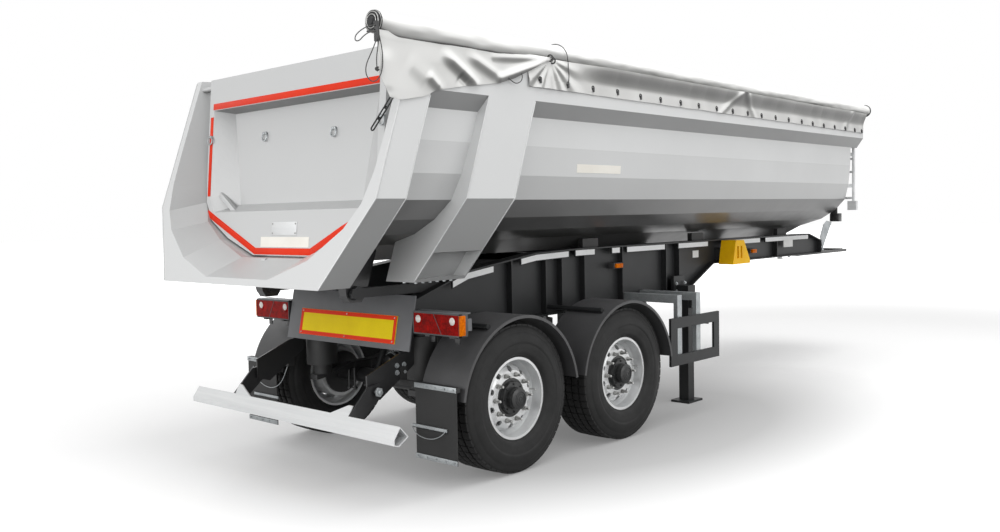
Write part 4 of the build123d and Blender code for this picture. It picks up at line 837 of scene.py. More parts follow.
def dress_rear():
    """Marker border, lamps with their parts, and brackets under them."""
    border = shape()
    low, high, half, wide = MARKER_LOW, MARKER_HIGH, MARKER_HALF, MARKER_BORDER
    for (y0, y1), (z0, z1) in (
        ((-half, half), (high - wide, high)), ((-half, half), (low, low + wide)),
        ((-half, wide - half), (low + wide, high - wide)), ((half - wide, half), (low + wide, high - wide)),
    ):
        corners = ((y0, z0), (y1, z0), (y1, z1), (y0, z1))
        outline = [(panel_x(z) - MARKER_FACE, y, z) for y, z in corners]
        prism(border, outline, (MARKER_FACE - BORDER_FACE, 0, 0))
    make("marker_border", border, "border", "chassis")
    places = [(y, z) for y in (-0.54, 0.0, 0.54) for z in (low + wide / 2, high - wide / 2)]
    rivets = [((panel_x(z) - BORDER_FACE + 0.0002, y, z), REARWARD) for y, z in places]
    bolts("marker_rivets", rivets, 0.0045, "chassis", "steel")
    housings = shape()
    rims = shape()
    lenses = {"clear": shape(), "amber": shape(), "lamp": shape()}
    lines = shape()
    brackets = shape()
    for side in (-1, 1):
        block(housings, LAMP_BACK, across(side, *LAMP_SPAN), LAMP_HEIGHTS)
        for span in LAMP_RIM_SIDES:
            block(rims, LAMP_RIM, across(side, *span), LAMP_HEIGHTS)
        for heights in LAMP_RIM_EDGES:
            block(rims, LAMP_RIM, across(side, LAMP_RIM_SIDES[0][0], LAMP_RIM_SIDES[1][1]), heights)
        for y in CLEAR_SPOTS:
            lathe(lenses["lamp"], (LAMP_FACE_X, side * y, 1.132), LAMP_DISC, 32, axis=REARWARD)
            lathe(lenses["clear"], (LAMP_FACE_X, side * y, 1.138), CLEAR_DISC, 28, axis=REARWARD)
        block(lenses["amber"], (LAMP_RIM[0], -0.532), across(side, 1.19, 1.204), (1.044, 1.178))
        prism(lines, [(-0.57, side * y, z) for y, z in DIVIDER], (-0.0115, 0, 0))
        for y in LAMP_BRACKETS:
            span = across(side, *beside(y, 0.022))
            block(brackets, (-0.565, -0.505), span, (1.018, 1.034))
            block(brackets, (-0.513, -0.505), span, (0.975, 1.034))
    make("lamp_housings", housings, "plastic", "chassis", 0.006)
    make("lamp_rims", rims, "plastic", "chassis", 0.002)
    for chosen, made in lenses.items():
        make(f"lamp_parts_{chosen}", made, chosen, "chassis", 0.002 if chosen == "amber" else 0.0)
    make("lamp_dividers", lines, "plastic", "chassis")
    make("lamp_brackets", brackets, "black", "chassis", 0.001)


# Underrun pins and mudflaps
PIN_X = -0.896
PIN_Z = 0.665
PIN_HEXAGON = ((-0.003, 0.034), (0.008, 0.034), (0.0115, 0.03), (0.0115, 0.0))
PIN_END = ((0.0, 0.016), (0.01, 0.016), (0.012, 0.013), (0.012, 0.0))
BRACKET_BOLT_X = (-0.676, -0.611)
BRACKET_BOLT_Z = (0.762, 0.812)
FLAP_STRIP_HEIGHTS = ((0.19, 0.224), (0.678, 0.712))
FLAP_STRIP_FACE = -0.664
FLAP_BOLT_Y = (0.85, 0.94, 1.03, 1.12, 1.205)
FLAP_BRACKET_Y = (0.8, 1.14)
# The bracket's angle: its x span and its heights
FLAP_BRACKET = (((-0.669, -0.656), (0.3995, 0.405)), ((-0.669, -0.66), (0.3995, 0.425)))


def dress_underrun():
    """Bolt groups on the brackets and the big pin heads."""
    places = []
    heads = shape()
    for side in (-1, 1):
        places += [((x, side * 0.6645, z), (0, side, 0)) for x in BRACKET_BOLT_X for z in BRACKET_BOLT_Z]
        lathe(heads, (PIN_X, side * 0.724, PIN_Z), outward(side, PIN_HEXAGON), 6)
        lathe(heads, (PIN_X, side * 0.734, PIN_Z), outward(side, PIN_END), 20)
    bolts("bracket_bolts", places, 0.0125, "chassis")
    make("underrun_pin_heads", heads, "galvanised", "underrun")


def dress_mudflaps():
    """Galvanised strips with bolts, and the brackets between them."""
    strips = shape()
    places = []
    for side in (-1, 1):
        for heights in FLAP_STRIP_HEIGHTS:
            block(strips, (FLAP_STRIP_FACE, FLAP_STRIP_FACE + 0.0035), across(side, 0.824, 1.23), heights)
            for y in FLAP_BOLT_Y:
                places.append(((FLAP_STRIP_FACE, side * y, sum(heights) / 2), REARWARD))
        for span, heights in FLAP_BRACKET:
            block(strips, span, across(side, *FLAP_BRACKET_Y), heights)
    make("mudflap_strips", strips, "galvanised", "chassis", 0.0006)
    bolts("mudflap_bolts", places, 0.0065, "chassis")


# Tailgate details, on its leaning plane
GATE_TOP_Z = 2.742
GATE_LEAN = 0.089
GATE_PLANE_X = -1.03
RECESS = 0.11
STRIP_HALF = 0.0235
SIDE_STRIP_HALF = 0.019
STRIP_SEAT = 0.0005
TOP_STRIP = ((-0.983, 2.7185), (0.993, 2.7185))
SIDE_STRIP = ((1.006, 2.03), (1.006, 2.64))
LOWER_STRIP = (
    (1.015, 1.905), (0.94, 1.871), (0.343, 1.6165), (-0.328, 1.617), (-0.668, 1.771), (-0.985, 1.893),
)
GATE_PLATE = ((-0.161, 1.778), (0.14, 1.778))
GATE_LABEL = ((-0.306, 1.683), (0.272, 1.683))
# Lashing rings: y, z and how deep their seat lies
GATE_RINGS = ((0.431, 2.455, RECESS), (-0.398, 2.431, RECESS), (-1.029, 2.455, 0.0), (1.004, 2.459, 0.0))
RING_LUG = ((-0.006, 0.01), (0.012, 0.01), (0.014, 0.007))
GUSSET = ((0.891, 2.059), (0.676, 1.919), (0.704, 1.891), (0.919, 2.031))


def on_gate(y, z, out=0.0):
    """A place on the gate's plane, so far out of it to the rear."""
    return Vector((GATE_PLANE_X + GATE_LEAN * (z - GATE_TOP_Z) - out, y, z))


def gate_band(name, lines, high, chosen, bevel=0.0):
    """Flat strips on the gate, mitred at their bends: lines of points, each with its half width."""
    made = shape()
    for line, half in lines:
        points = [Vector(point) for point in line]
        ways = [(b - a).normalized() for a, b in zip(points, points[1:])]
        left, right = [], []
        for index, point in enumerate(points):
            first = ways[max(index - 1, 0)]
            second = ways[min(index, len(ways) - 1)]
            middle = (first + second).normalized()
            side = Vector((-middle.y, middle.x)) * half / max(middle.dot(first), 0.3)
            left.append(point + side)
            right.append(point - side)
        for i in range(len(points) - 1):
            corners = (left[i], left[i + 1], right[i + 1], right[i])
            prism(made, [on_gate(p.x, p.y, STRIP_SEAT) for p in corners], (STRIP_SEAT - high, 0, 0))
    make(name, made, chosen, "tailgate", bevel)


def dress_gate():
    """Reflective strips, blank plate and label, rivets, lashing rings and the gusset beside the recess."""
    strips = ((TOP_STRIP, STRIP_HALF), (SIDE_STRIP, SIDE_STRIP_HALF), (LOWER_STRIP, STRIP_HALF))
    gate_band("gate_strips", strips, 0.0035, "strip", 0.0006)
    gate_band("gate_blank_plate", ((GATE_PLATE, 0.046),), 0.0045, "aluminium", 0.001)
    gate_band("gate_blank_label", ((GATE_LABEL, 0.036),), 0.0025, "cream")
    rivets = [(on_gate(y, z, 0.0045), REARWARD) for y in (-0.148, 0.127) for z in (1.745, 1.811)]
    bolts("gate_rivets", rivets, 0.0045, "tailgate", "steel")
    rings = shape()
    for y, z, deep in GATE_RINGS:
        root = on_gate(y, z, 0.004 - deep)
        for dy in (-0.012, 0.012):
            lathe(rings, root + Vector((0, dy, 0.028)), RING_LUG, 14, axis=REARWARD)
        torus(rings, root + Vector((-0.01, 0, 0.0)), (-1, 0, 0.12), 0.029, 0.0055, 24)
    make("gate_rings", rings, "galvanised", "tailgate")
    gusset = shape()
    prism(gusset, [on_gate(y, z, -RECESS * 0.55) for y, z in GUSSET], (-RECESS * 0.3, 0, 0))
    make("gate_gusset", gusset, "gate", "tailgate", 0.003)


# The label on one facet of the cladding, and the facet's half widths and heights
CLADDING = ((1.175, 2.12), (1.195, 2.33))
LABEL_CORNERS = ((0.722, 2.152), (1.288, 2.152), (1.288, 2.216), (0.722, 2.216))

# Slanted bands
SLANT = 0.345
BAND_FOOT = (0.94, 1.405)
BAND_KNEE = (1.275, 1.955)
FRAME_REAR_X = -1.53
FRAME_WIDTH = 0.243
RIB_REAR_X = -0.76
RIB_WIDTH = 0.473
RIB_FOOT_HALF = 0.958
RIB_EDGE_TOP = 2.636
# Edge beads: x of the edge, half width at the foot, top and radius
EDGE_BEADS = (
    (FRAME_REAR_X + 0.003, BAND_FOOT[0], 2.93, 0.0065),
    (FRAME_REAR_X + FRAME_WIDTH, BAND_FOOT[0], 2.6, 0.0045),
    (RIB_REAR_X, RIB_FOOT_HALF, RIB_EDGE_TOP, 0.0055),
    (RIB_REAR_X + RIB_WIDTH, RIB_FOOT_HALF, RIB_EDGE_TOP, 0.0055),
)
RIB_BOLTS = 6
RIB_BOLT_START = -0.7
RIB_BOLT_STEP = 0.066
RIB_BOLT_Y = (0.905, 0.79)
LATCH_BLOCKS = (
    ((-1.262, -1.222), (0.034, 0.066), (1.466, 1.545)), ((-1.272, -1.212), (0.02, 0.08), (1.453, 1.47)),
)
FRONT_BLOCKS = (
    ((5.795, 5.88), (-1.055, -0.945), (1.69, 1.785)), ((5.781, 5.8), (-1.04, -0.96), (1.78, 1.985)),
)


def dress_cladding():
    """A blank cream label on the cladding's right side."""
    (low_half, low_z), (high_half, high_z) = CLADDING
    corners = []
    for x, z in LABEL_CORNERS:
        half = low_half + (high_half - low_half) * (z - low_z) / (high_z - low_z)
        corners.append((x, -half - 0.0004, z))
    label = shape()
    prism(label, corners, (0, -0.0012, 0))
    make("side_blank_label", label, "cream", "tipping_body")


def dress_bands():
    """Rounded edges on the rear frame and the rib, the foot bolts, the latch's post and the front block."""
    beads = shape()
    for rear, foot_half, top, radius in EDGE_BEADS:
        for side in (-1, 1):
            bends = ((foot_half, BAND_FOOT[1] + 0.012), BAND_KNEE, (BAND_KNEE[0], top))
            path = [(rear + SLANT * (z - BAND_FOOT[1]), side * half, z) for half, z in bends]
            tube(beads, path, radius, 8)
    make("band_edges", beads, "body", "tipping_body")
    steps = [RIB_BOLT_START + RIB_BOLT_STEP * step for step in range(RIB_BOLTS)]
    places = [((x, side * y, 1.4055), (0, 0, -1)) for side in (-1, 1) for x in steps for y in RIB_BOLT_Y]
    bolts("rib_foot_bolts", places, 0.012, "tipping_body")
    post = shape()
    for size in LATCH_BLOCKS:
        block(post, *size)
    lathe(post, (-1.242, 0.026, 1.553), [(0.0, 0.022), (0.048, 0.022)], 20)
    make("latch_post", post, "body", "tipping_body", 0.003)
    make_blocks("front_block", FRONT_BLOCKS, "black", "tipping_body", 0.006)


# Running gear details, counted from each axle
BRAKE_Y = 0.36
BRAKE_PLACE = (0.19, 0.64)
BRAKE_LEAN = (1, 0, 0.15)
CHAMBER = (
    (-0.095, 0.0), (-0.095, 0.05), (-0.08, 0.072), (-0.02, 0.08), (0.035, 0.08), (0.095, 0.072),
    (0.11, 0.055), (0.112, 0.0),
)
CLAMP = ((-0.008, 0.078), (-0.008, 0.086), (0.008, 0.086), (0.008, 0.078))
CLAMP_OFFSETS = (-0.022, 0.036)
DAMPER_Y = 0.47
U_BOLT_Y = (0.548, 0.622)
U_BOLT_HALF = 0.085
U_BOLT_Z = (0.44, 0.65)


def dress_axles():
    """Brake chambers with their clamp rings and rods, shock absorbers and U-bolts."""
    chambers = shape()
    rings = shape()
    dampers = shape()
    rods = shape()
    nuts = []
    length = Vector(BRAKE_LEAN).length
    lean = Vector([value / length for value in BRAKE_LEAN])
    for axle_x, side in [(x, side) for axle, x in AXLES for side in (-1, 1)]:
        brake, damper = side * BRAKE_Y, side * DAMPER_Y
        centre = Vector((axle_x + BRAKE_PLACE[0], brake, BRAKE_PLACE[1]))
        lathe(chambers, centre, CHAMBER, 36, axis=lean)
        for offset in CLAMP_OFFSETS:
            lathe(rings, centre + offset * lean, CLAMP, 36, axis=lean, ring=True)
        tube(rods, [centre - 0.09 * lean, (axle_x + 0.03, brake, 0.585)], 0.01, 12)
        block(rods, (axle_x - 0.012, axle_x + 0.045), across(side, *beside(BRAKE_Y, 0.022)), (0.56, 0.606))
        block(rods, (axle_x + 0.15, axle_x + 0.235), across(side, *beside(BRAKE_Y, 0.02)), (0.5, 0.57))
        tube(rods, [(axle_x + 0.19, brake, 0.54), (axle_x + 0.02, brake, 0.53)], 0.02, 12)
        low, high = (axle_x + 0.06, damper, 0.5), (axle_x + 0.3, damper, 1.0)
        tube(dampers, [low, (axle_x + 0.18, damper, 0.75)], 0.03, 20)
        tube(dampers, [(axle_x + 0.17, damper, 0.729), high], 0.037, 20)
        for (x, y, z), inner, outer in ((low, 0.44, 0.56), (high, 0.43, 0.6)):
            tube(rods, [(x, side * inner, z), (x, side * outer, z)], 0.014, 12)
        for x in (axle_x - U_BOLT_HALF, axle_x + U_BOLT_HALF):
            for y in U_BOLT_Y:
                tube(rods, [(x, side * y, z) for z in U_BOLT_Z], 0.01, 10)
                nuts.append(((x, side * y, U_BOLT_Z[0]), (0, 0, -1)))
    make("brake_chambers", chambers, "black", "chassis", sharp=45)
    make("brake_clamp_rings", rings, "galvanised", "chassis")
    make("shock_absorbers", dampers, "frame", "chassis")
    make("brake_rods", rods, "black", "chassis")
    bolts("axle_u_bolt_nuts", nuts, 0.016, "chassis", "black")


# Landing gear: the crank's bends in y and z, the gearbox and the bolts
CRANK_X = 2.96
CRANK_BENDS = (
    (-0.74, 0.985), (-0.87, 0.985), (-0.885, 0.975), (-0.89, 0.955), (-0.89, 0.8), (-0.895, 0.785),
    (-0.91, 0.778), (-0.99, 0.778),
)
GEARBOX = ((2.905, 3.015), (-0.842, -0.79), (0.915, 1.055))
LEG_BOLT_X = (2.87, 3.02)
LEG_BOLT_Z = (1.075, 1.15)


def dress_landing_gear():
    """Crank, gearbox and the bolts of the landing legs."""
    crank = shape()
    tube(crank, [(CRANK_X, y, z) for y, z in CRANK_BENDS], 0.01, 12)
    make("landing_crank", crank, "black", "chassis")
    make_blocks("landing_gearbox", [GEARBOX], "frame", "chassis", 0.01)
    rows = [(side, x, z) for side in (-1, 1) for x in LEG_BOLT_X for z in LEG_BOLT_Z]
    places = [((x, side * 0.699, z), (0, side, 0)) for side, x, z in rows]
    bolts("landing_bolts", places, 0.011, "chassis")
    heads = [((GEARBOX[0][0] + dx, -0.8425, z), (0, -1, 0)) for dx in (0.014, 0.096) for z in (0.93, 1.04)]
    bolts("gearbox_bolts", heads, 0.007, "chassis")


# Tarp: a roll on the right rail, a skirt buttoned below it and a loose flap drawn to a knot
ROLL_ENDS = ((-1.275, 3.0093), (6.12, 2.9663))
ROLL_Y = -1.228
ROLL_TURNS = 3
ROLL_START = 2.4
ROLL_CORE = 0.035
ROLL_OUT = 0.066
ROLL_DENT = 0.085
CLOTH = 0.0012
SKIRT_SPAN = (0.06, 5.93)
SKIRT_TOP = (2.95, 2.916)
SKIRT_LOW = (2.737, 2.7)
SKIRT_Y = 1.279
SKIRT_LEAN = 0.036
RAY_DEPTH = 0.012
RAY_COUNT = 15
# Creases in the skirt below the straps: x at the top and at the foot, height, width
SKIRT_CREASES = ((3.07, 2.7, 0.016, 0.05), (3.12, 3.33, 0.01, 0.045), (5.56, 5.4, 0.012, 0.05))
HEM_START = 0.72
HEM_OUT = 0.0028
FLAP_LOW = (
    (-1.3, 2.69), (-1.225, 2.56), (-1.13, 2.552), (-0.93, 2.589), (-0.829, 2.635), (-0.577, 2.681),
    (-0.241, 2.73), (-0.088, 2.777), (0.071, 2.847), (0.236, 2.926), (0.31, 2.938),
)
FLAP_TOP = 2.955
KNOT = (0.3, 2.945)
# Folds of the flap: start, end, height and width
FOLDS = (
    ((-0.79, 2.89), (-0.47, 2.7), 0.024, 0.036), ((-0.56, 2.895), (-0.25, 2.775), 0.012, 0.034),
    ((-0.915, 2.735), (-0.8, 2.65), 0.016, 0.03), ((-0.64, 2.74), (-0.56, 2.69), -0.012, 0.036),
    (KNOT, (-0.24, 2.76), 0.02, 0.03), (KNOT, (-0.3, 2.9), 0.01, 0.026),
    ((-1.251, 2.86), (-1.235, 2.58), 0.01, 0.06), ((-1.08, 2.8), (-0.9, 2.7), 0.006, 0.06),
)
EYELETS = (
    (0.176, 2.794), (0.492, 2.787), (0.8, 2.783), (1.115, 2.783), (1.429, 2.773), (1.719, 2.77),
    (2.026, 2.768), (2.317, 2.764), (2.624, 2.759), (2.912, 2.756), (3.195, 2.756), (3.471, 2.75),
    (3.76, 2.749), (4.041, 2.746), (4.335, 2.744), (4.594, 2.738), (4.863, 2.732), (5.143, 2.731),
    (5.408, 2.729), (5.683, 2.727), (5.88, 2.724),
)
EYELET_SIZES = {"Ring radius": 0.0145, "Wire radius": 0.0045}
# The roll's end rings, from the core outward, and the wires on the rear one: offset, radius
ROLL_END = (
    (-0.06, 0.024), (-0.01, 0.024), (-0.009, 0.068), (0.0, 0.07), (0.001, 0.062), (0.01, 0.062),
    (0.011, 0.066), (0.016, 0.066), (0.017, 0.05), (0.022, 0.048), (0.02, 0.034), (0.028, 0.026),
    (0.034, 0.022), (0.035, 0.0),
)
END_WIRES = ((0.0015, 0.066), (0.0175, 0.058), (0.0225, 0.041))
END_BRACKET = (
    ((-1.322, -1.296), (-1.3, -1.277), (2.88, 3.0)), ((-1.322, -1.296), (-1.296, -1.21), (2.942, 2.952)),
)


def smooth_step(low, high, value):
    """A soft rise from 0 to 1 between two values."""
    share = min(max((value - low) / (high - low), 0), 1)
    return share * share * (3 - 2 * share)


def between(ends, share):
    """A value part of the way between two."""
    return ends[0] + (ends[1] - ends[0]) * share


def ridge(away, height, width):
    """Height of a soft ridge, so far away from its line."""
    return height * 2.718 ** (-(away / width) ** 2)


def rough_noise(*place):
    """The same soft noise each run, from -1 to 1."""
    return noise.noise(Vector(place))


def cloth(name, place, columns, rows, chosen="tarp"):
    """A closed thin sheet over a grid: place(u, v) gives its outer face, u and v from 0 to 1."""
    outer = [[place(i / columns, j / rows) for i in range(columns + 1)] for j in range(rows + 1)]
    inner = []
    for j in range(rows + 1):
        for i in range(columns + 1):
            along = outer[j][min(i + 1, columns)] - outer[j][max(i - 1, 0)]
            down = outer[min(j + 1, rows)][i] - outer[max(j - 1, 0)][i]
            inner.append(outer[j][i] - CLOTH * along.cross(down).normalized())
    width = columns + 1
    count = width * (rows + 1)
    faces = []
    for j in range(rows):
        for i in range(columns):
            a = j * width + i
            faces.append((a, a + 1, a + 1 + width, a + width))
            faces.append((count + a, count + a + width, count + a + 1 + width, count + a + 1))
    rim = list(range(width)) + [j * width + columns for j in range(1, rows + 1)]
    rim += [rows * width + i for i in range(columns - 1, -1, -1)]
    rim += [j * width for j in range(rows - 1, 0, -1)]
    for here, after in zip(rim, rim[1:] + rim[:1]):
        faces.append((here, count + here, count + after, after))
    made = shape()
    put(made, [point for line in outer for point in line] + inner, faces)
    return make(name, made, chosen, "tipping_body", sharp=70, turn=False)


def roll_place(u, v):
    """The rolled cloth: v winds outward, and every turn is crushed in the same places."""
    x = between((ROLL_ENDS[0][0], ROLL_ENDS[1][0]), u)
    z = between((ROLL_ENDS[0][1], ROLL_ENDS[1][1]), u)
    turn = -2 * pi * ROLL_TURNS * v
    dent = rough_noise(x * 1.6, 2.2 * cos(turn), 2.2 * sin(turn))
    dent += 0.7 * rough_noise(x * 7, 3 * cos(turn), 3 * sin(turn))
    slack = smooth_step(-1.275, -1.12, x) * (1 - smooth_step(-0.3, 0.3, x))
    free = 0.35 + 0.65 * smooth_step(0.0, 0.05, u) * smooth_step(0.0, 0.05, 1 - u)
    radius = between((ROLL_CORE, ROLL_OUT), v) * (1 + 0.32 * slack) * (1 + ROLL_DENT * free * dent)
    sag = 0.006 * rough_noise(x * 0.9, 4.0, 2.0) * free - 0.018 * slack
    turn += ROLL_START
    return Vector((x, ROLL_Y + radius * sin(turn), z + radius * cos(turn) + sag))


def skirt_place(u, v):
    """The skirt leans in below the roll, ripples between its buttons and gathers toward the knot."""
    x = between(SKIRT_SPAN, u)
    low = between(SKIRT_LOW, u) + 0.004 * rough_noise(x * 4, 0, 7)
    z = between((between(SKIRT_TOP, u), low), v)
    gather = 1 - smooth_step(0.3, 0.8, x)
    lean = SKIRT_LEAN * smooth_step(0.45, 1.05, x) * (1 - smooth_step(0.0, 0.62, v))
    ripple = 0.006 * (0.5 + 0.5 * rough_noise(x * 5, z * 4, 1)) * (1 - 0.5 * v)
    pull = abs(sin(pi * (x - SKIRT_SPAN[0]) / 0.34 + 2 * rough_noise(x * 1.7, 3, 9)))
    ripple += 0.01 * pull * (1 - v) * (0.4 + 0.6 * abs(rough_noise(x * 2.3, z * 3, 5))) * (1 - gather)
    for crease_top, crease_low, height, width in SKIRT_CREASES:
        ripple += ridge(x - between((crease_top, crease_low), v), height, width) * (1 - 0.5 * v)
    knot_way = Vector((x - KNOT[0], z - KNOT[1]))
    wave = 0.5 + 0.5 * sin(RAY_COUNT * knot_way.angle(Vector((0, -1)), 0.0))
    rays = RAY_DEPTH * gather * wave * min(knot_way.length * 9, 1)
    return Vector((x, -SKIRT_Y - lean - ripple - rays, z))


def flap_place(u, v):
    """The flap: folds run down to the rear from the knot."""
    x = between((FLAP_LOW[0][0], FLAP_LOW[-1][0]), u)
    z = between((FLAP_TOP, line_height(FLAP_LOW, x)), v)
    here = Vector((x, z))
    lift = 0.007 * (1 + rough_noise(x * 3, z * 5, 3))
    for start, end, height, width in FOLDS:
        start, way = Vector(start), Vector(end) - Vector(start)
        share = min(max((here - start).dot(way) / way.length_squared, 0), 1)
        away = (here - start - way * share).length
        swell = smooth_step(0.0, 0.35, share + 0.02) * (1 - 0.35 * smooth_step(0.8, 1.0, share))
        lift += ridge(away, height, width) * swell
    lift = max(lift, 0.0) * (0.35 + 0.65 * smooth_step(0.0, 0.12, v))
    over = 0.01 * smooth_step(0.0, 0.12, x)
    return Vector((x, -SKIRT_Y - lift - over, z))


def dress_tarp():
    """The roll with its end rings and bracket, the skirt with hem and buttons, and the flap."""
    roll = cloth("rolled_tarp", roll_place, 420, 84, "roll")
    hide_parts("tarp_roll")
    skirt = cloth("tarp_side_skirt", skirt_place, 500, 16)
    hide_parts("tarp_skirt")
    out = Vector((0, HEM_OUT, 0))
    hem = cloth("tarp_hem", lambda u, v: skirt_place(u, between((HEM_START, 1), v)) - out, 500, 5)
    rings = []
    tabs = shape()
    for x, z in EYELETS:
        y = skirt_place((x - SKIRT_SPAN[0]) / (SKIRT_SPAN[1] - SKIRT_SPAN[0]), 0.86).y - 0.004
        rings.append(((x, y, z), (0, -1, 0)))
        block(tabs, beside(x, 0.008), (y - 0.012, y + 0.001), (z - 0.03, z + 0.004))
    eyelets = repeated("skirt_eyelets", TREES["eyelets"], spots(rings), EYELET_SIZES, "frame", "tipping_body")
    buttons = make("skirt_buttons", tabs, "plastic", "tipping_body", 0.003)
    flap = cloth("tarp_loose_flap", flap_place, 260, 60)
    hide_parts("tarp_flap")
    (rear_x, rear_z), (front_x, front_z) = ROLL_ENDS
    lean = Vector((front_x - rear_x, 0, front_z - rear_z)).normalized()
    core = shape()
    for (x, z), way in zip(ROLL_ENDS, (-1, 1)):
        lathe(core, (x, ROLL_Y, z), outward(way, ROLL_END), 40, axis=lean)
    make("roll_end_rings", core, "frame", "tipping_body")
    rims = shape()
    for offset, ring in END_WIRES:
        torus(rims, (rear_x - offset, ROLL_Y, rear_z), lean, ring, 0.0028, 36)
    make("roll_end_wires", rims, "steel", "tipping_body")
    make_blocks("roll_end_bracket", END_BRACKET, "black", "tipping_body", 0.002)


# Cords: name, points, far end, stiffness and lay. The tie cords are 6.5 mm thick and the wire cables 6 mm.
TIE = 0.0065
WIRE = 0.006
END_TIES = (
    ("roll_tie_loop", (
        (-1.3, -1.296, 2.93), (-1.286, -1.303, 2.86), (-1.278, -1.303, 2.78), (-1.288, -1.303, 2.7),
        (-1.325, -1.303, 2.648), (-1.372, -1.303, 2.636), (-1.412, -1.303, 2.672), (-1.41, -1.303, 2.73),
        (-1.376, -1.303, 2.79), (-1.342, -1.303, 2.85), (-1.318, -1.303, 2.905), (-1.312, -1.297, 2.94),
    ), "object", "limp", "hanging"),
    ("roll_tie_tail", (
        (-1.305, -1.3, 2.9), (-1.318, -1.309, 2.85), (-1.33, -1.309, 2.8), (-1.333, -1.308, 2.745),
        (-1.326, -1.306, 2.7),
    ), "knot", "limp", "hanging"),
    ("roll_end_loop", (
        (-1.296, -1.286, 2.975), (-1.35, -1.3, 2.972), (-1.425, -1.302, 2.938), (-1.48, -1.302, 2.895),
        (-1.486, -1.302, 2.862), (-1.455, -1.302, 2.862), (-1.415, -1.302, 2.902), (-1.36, -1.3, 2.932),
        (-1.296, -1.29, 2.945),
    ), "object", "medium", "loose"),
)
STRAPS = (
    ("flap_tie_loop", (
        (-0.04, -1.296, 2.835), (-0.026, -1.303, 2.805), (-0.03, -1.303, 2.768), (-0.062, -1.303, 2.745),
        (-0.1, -1.303, 2.738), (-0.14, -1.303, 2.752), (-0.17, -1.298, 2.772),
    ), "object", "limp", "hanging"),
    ("roll_strap", (
        (0.38, -1.192, 3.056), (0.405, -1.234, 3.074), (0.43, -1.278, 3.06), (0.455, -1.304, 3.022),
        (0.472, -1.306, 2.978), (0.486, -1.3, 2.92), (0.492, -1.3, 2.86), (0.492, -1.3, 2.82),
        (0.492, -1.296, 2.79),
    ), "object", "limp", "hanging"),
)
SAFETY_CABLES = (
    ("right_safety_cable", (
        (-0.668, -0.8, 0.4), (-0.676, -0.83, 0.372), (-0.68, -0.88, 0.35), (-0.682, -0.95, 0.34),
        (-0.682, -1.02, 0.346), (-0.68, -1.08, 0.368), (-0.676, -1.115, 0.394), (-0.668, -1.13, 0.412),
    ), "object", "limp", "hanging"),
    ("left_safety_cable", (
        (-0.668, 1.14, 0.64), (-0.678, 1.11, 0.585), (-0.684, 1.04, 0.53), (-0.686, 0.95, 0.495),
        (-0.686, 0.85, 0.49), (-0.684, 0.76, 0.52), (-0.68, 0.69, 0.59), (-0.672, 0.652, 0.68),
    ), "object", "limp", "hanging"),
)
# Rings of wire wound in a knot: centre, the way each faces
TIE_KNOT = (((-1.327, -1.306, 2.712), (0.3, 0.2, 1)), ((-1.33, -1.306, 2.722), (-0.4, 0.3, 1)))
FLAP_KNOT = (
    ((KNOT[0], -1.296, KNOT[1]), (1, 0.0, -0.6)),
    ((KNOT[0] + 0.016, -1.296, KNOT[1] - 0.012), (1, 0.2, -0.1)),
    ((KNOT[0] - 0.014, -1.296, KNOT[1] + 0.01), (1, 0.4, 0.4)),
)
CHAIN_START = (-1.127, -1.206, 2.58)
CHAIN_END = (-1.195, -1.088, 2.385)
CHAIN_LINKS = 3
LINK_WIDTH = 0.026
LINK_WIRE = 0.0052
LINK_STEPS = 8


def cord(name, points, far_end, stiffness, lay, diameter, chosen, body):
    """A cord on a smooth line through its own few points."""
    data = bpy.data.curves.new(name, "CURVE")
    data.dimensions = "3D"
    line = data.splines.new("NURBS")
    line.points.add(len(points) - 1)
    for point, place in zip(line.points, points):
        point.co = (*at(*place), 1)
    line.order_u = 3
    line.use_endpoint_u = True
    line.resolution_u = 8
    data.materials.append(MATERIALS[chosen])
    piece = linked(name, data)
    plain = bpy.data.meshes.new_from_object(piece)
    bpy.data.meshes.remove(plain)
    data.bevel_depth = diameter / 2
    data.bevel_resolution = 3
    data.use_fill_caps = True
    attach(piece, body)


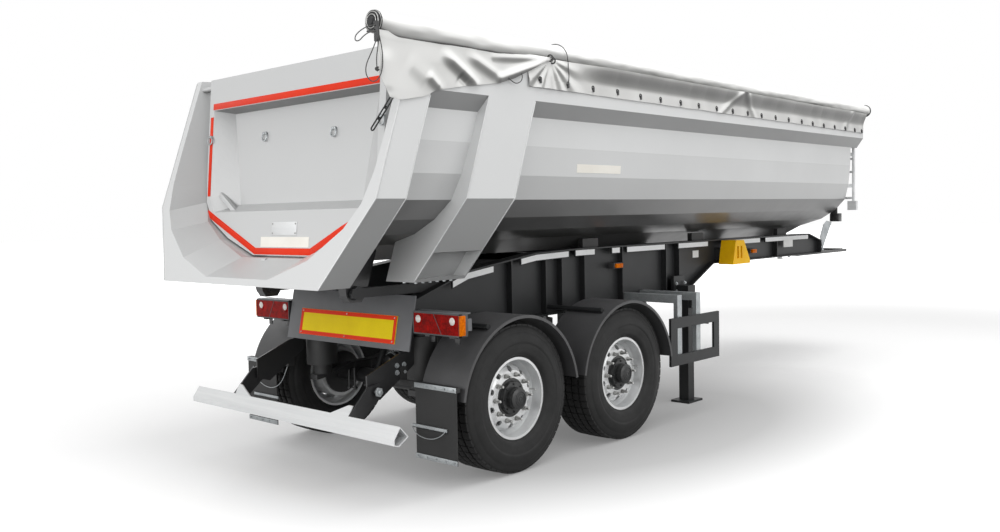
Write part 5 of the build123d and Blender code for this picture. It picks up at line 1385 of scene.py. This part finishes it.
def knot(name, rings, ring, wire, steps):
    """Rings of cord wound in a knot."""
    made = shape()
    for place, facing in rings:
        torus(made, place, facing, ring, wire, steps)
    make(name, made, "cord", "tipping_body")


def chain_link(made, centre, along, side, length):
    """One long link."""
    side = (side - along * side.dot(along)).normalized()
    reach = (length - LINK_WIDTH) / 2
    path = []
    for end in (1, -1):
        for step in range(LINK_STEPS + 1):
            turn = pi * step / LINK_STEPS - pi / 2
            round_end = along * (reach + LINK_WIDTH / 2 * cos(turn)) + side * LINK_WIDTH / 2 * sin(turn)
            path.append(centre + end * round_end)
    tube(made, path, LINK_WIRE, 8, closed=True)


def dress_chain():
    """The short chain of the flap and the ring it hangs from."""
    chain = shape()
    start, end = Vector(CHAIN_START), Vector(CHAIN_END)
    way = end - start
    for step in range(CHAIN_LINKS):
        side = Vector((1, 0, 0)) if step % 2 else Vector((0, 1, 0.5))
        place = start + way * (step + 0.5) / CHAIN_LINKS
        chain_link(chain, place, way.normalized(), side, way.length / CHAIN_LINKS + 0.012)
    torus(chain, start + Vector((0.004, -0.01, 0.012)), (1, 0.3, 0), 0.017, 0.005, 20)
    make("flap_chain", chain, "frame", "tipping_body")


def dress_cords():
    """Ties at the roll's end, round it and under the flap, with knots, chain and safety cables."""
    for row in END_TIES:
        cord(*row, TIE, "cord", "tipping_body")
    knot("roll_tie_knot", TIE_KNOT, 0.0085, 0.005, 16)
    for row in STRAPS:
        cord(*row, TIE, "cord", "tipping_body")
    knot("flap_knot", FLAP_KNOT, 0.018, 0.0055, 20)
    dress_chain()
    for row in SAFETY_CABLES:
        cord(*row, WIRE, "galvanised", "chassis")


MATERIALS = make_materials()
TREES = {"bolts": bolt_tree(), "eyelets": eyelet_tree(), "turned": turned_tree()}
finish_cad_nodes()
for axle_name, axle_place in AXLES:
    for side_name, side_sign in SIDES:
        dress_wheel(axle_name, axle_place, side_name, side_sign)
dress_beams()
dress_rear()
dress_underrun()
dress_mudflaps()
dress_gate()
dress_cladding()
dress_bands()
dress_axles()
dress_landing_gear()
dress_tarp()
dress_cords()
make_camera()
make_floor()
make_world()
make_lights()
bpy.context.scene.view_settings.view_transform = "Standard"
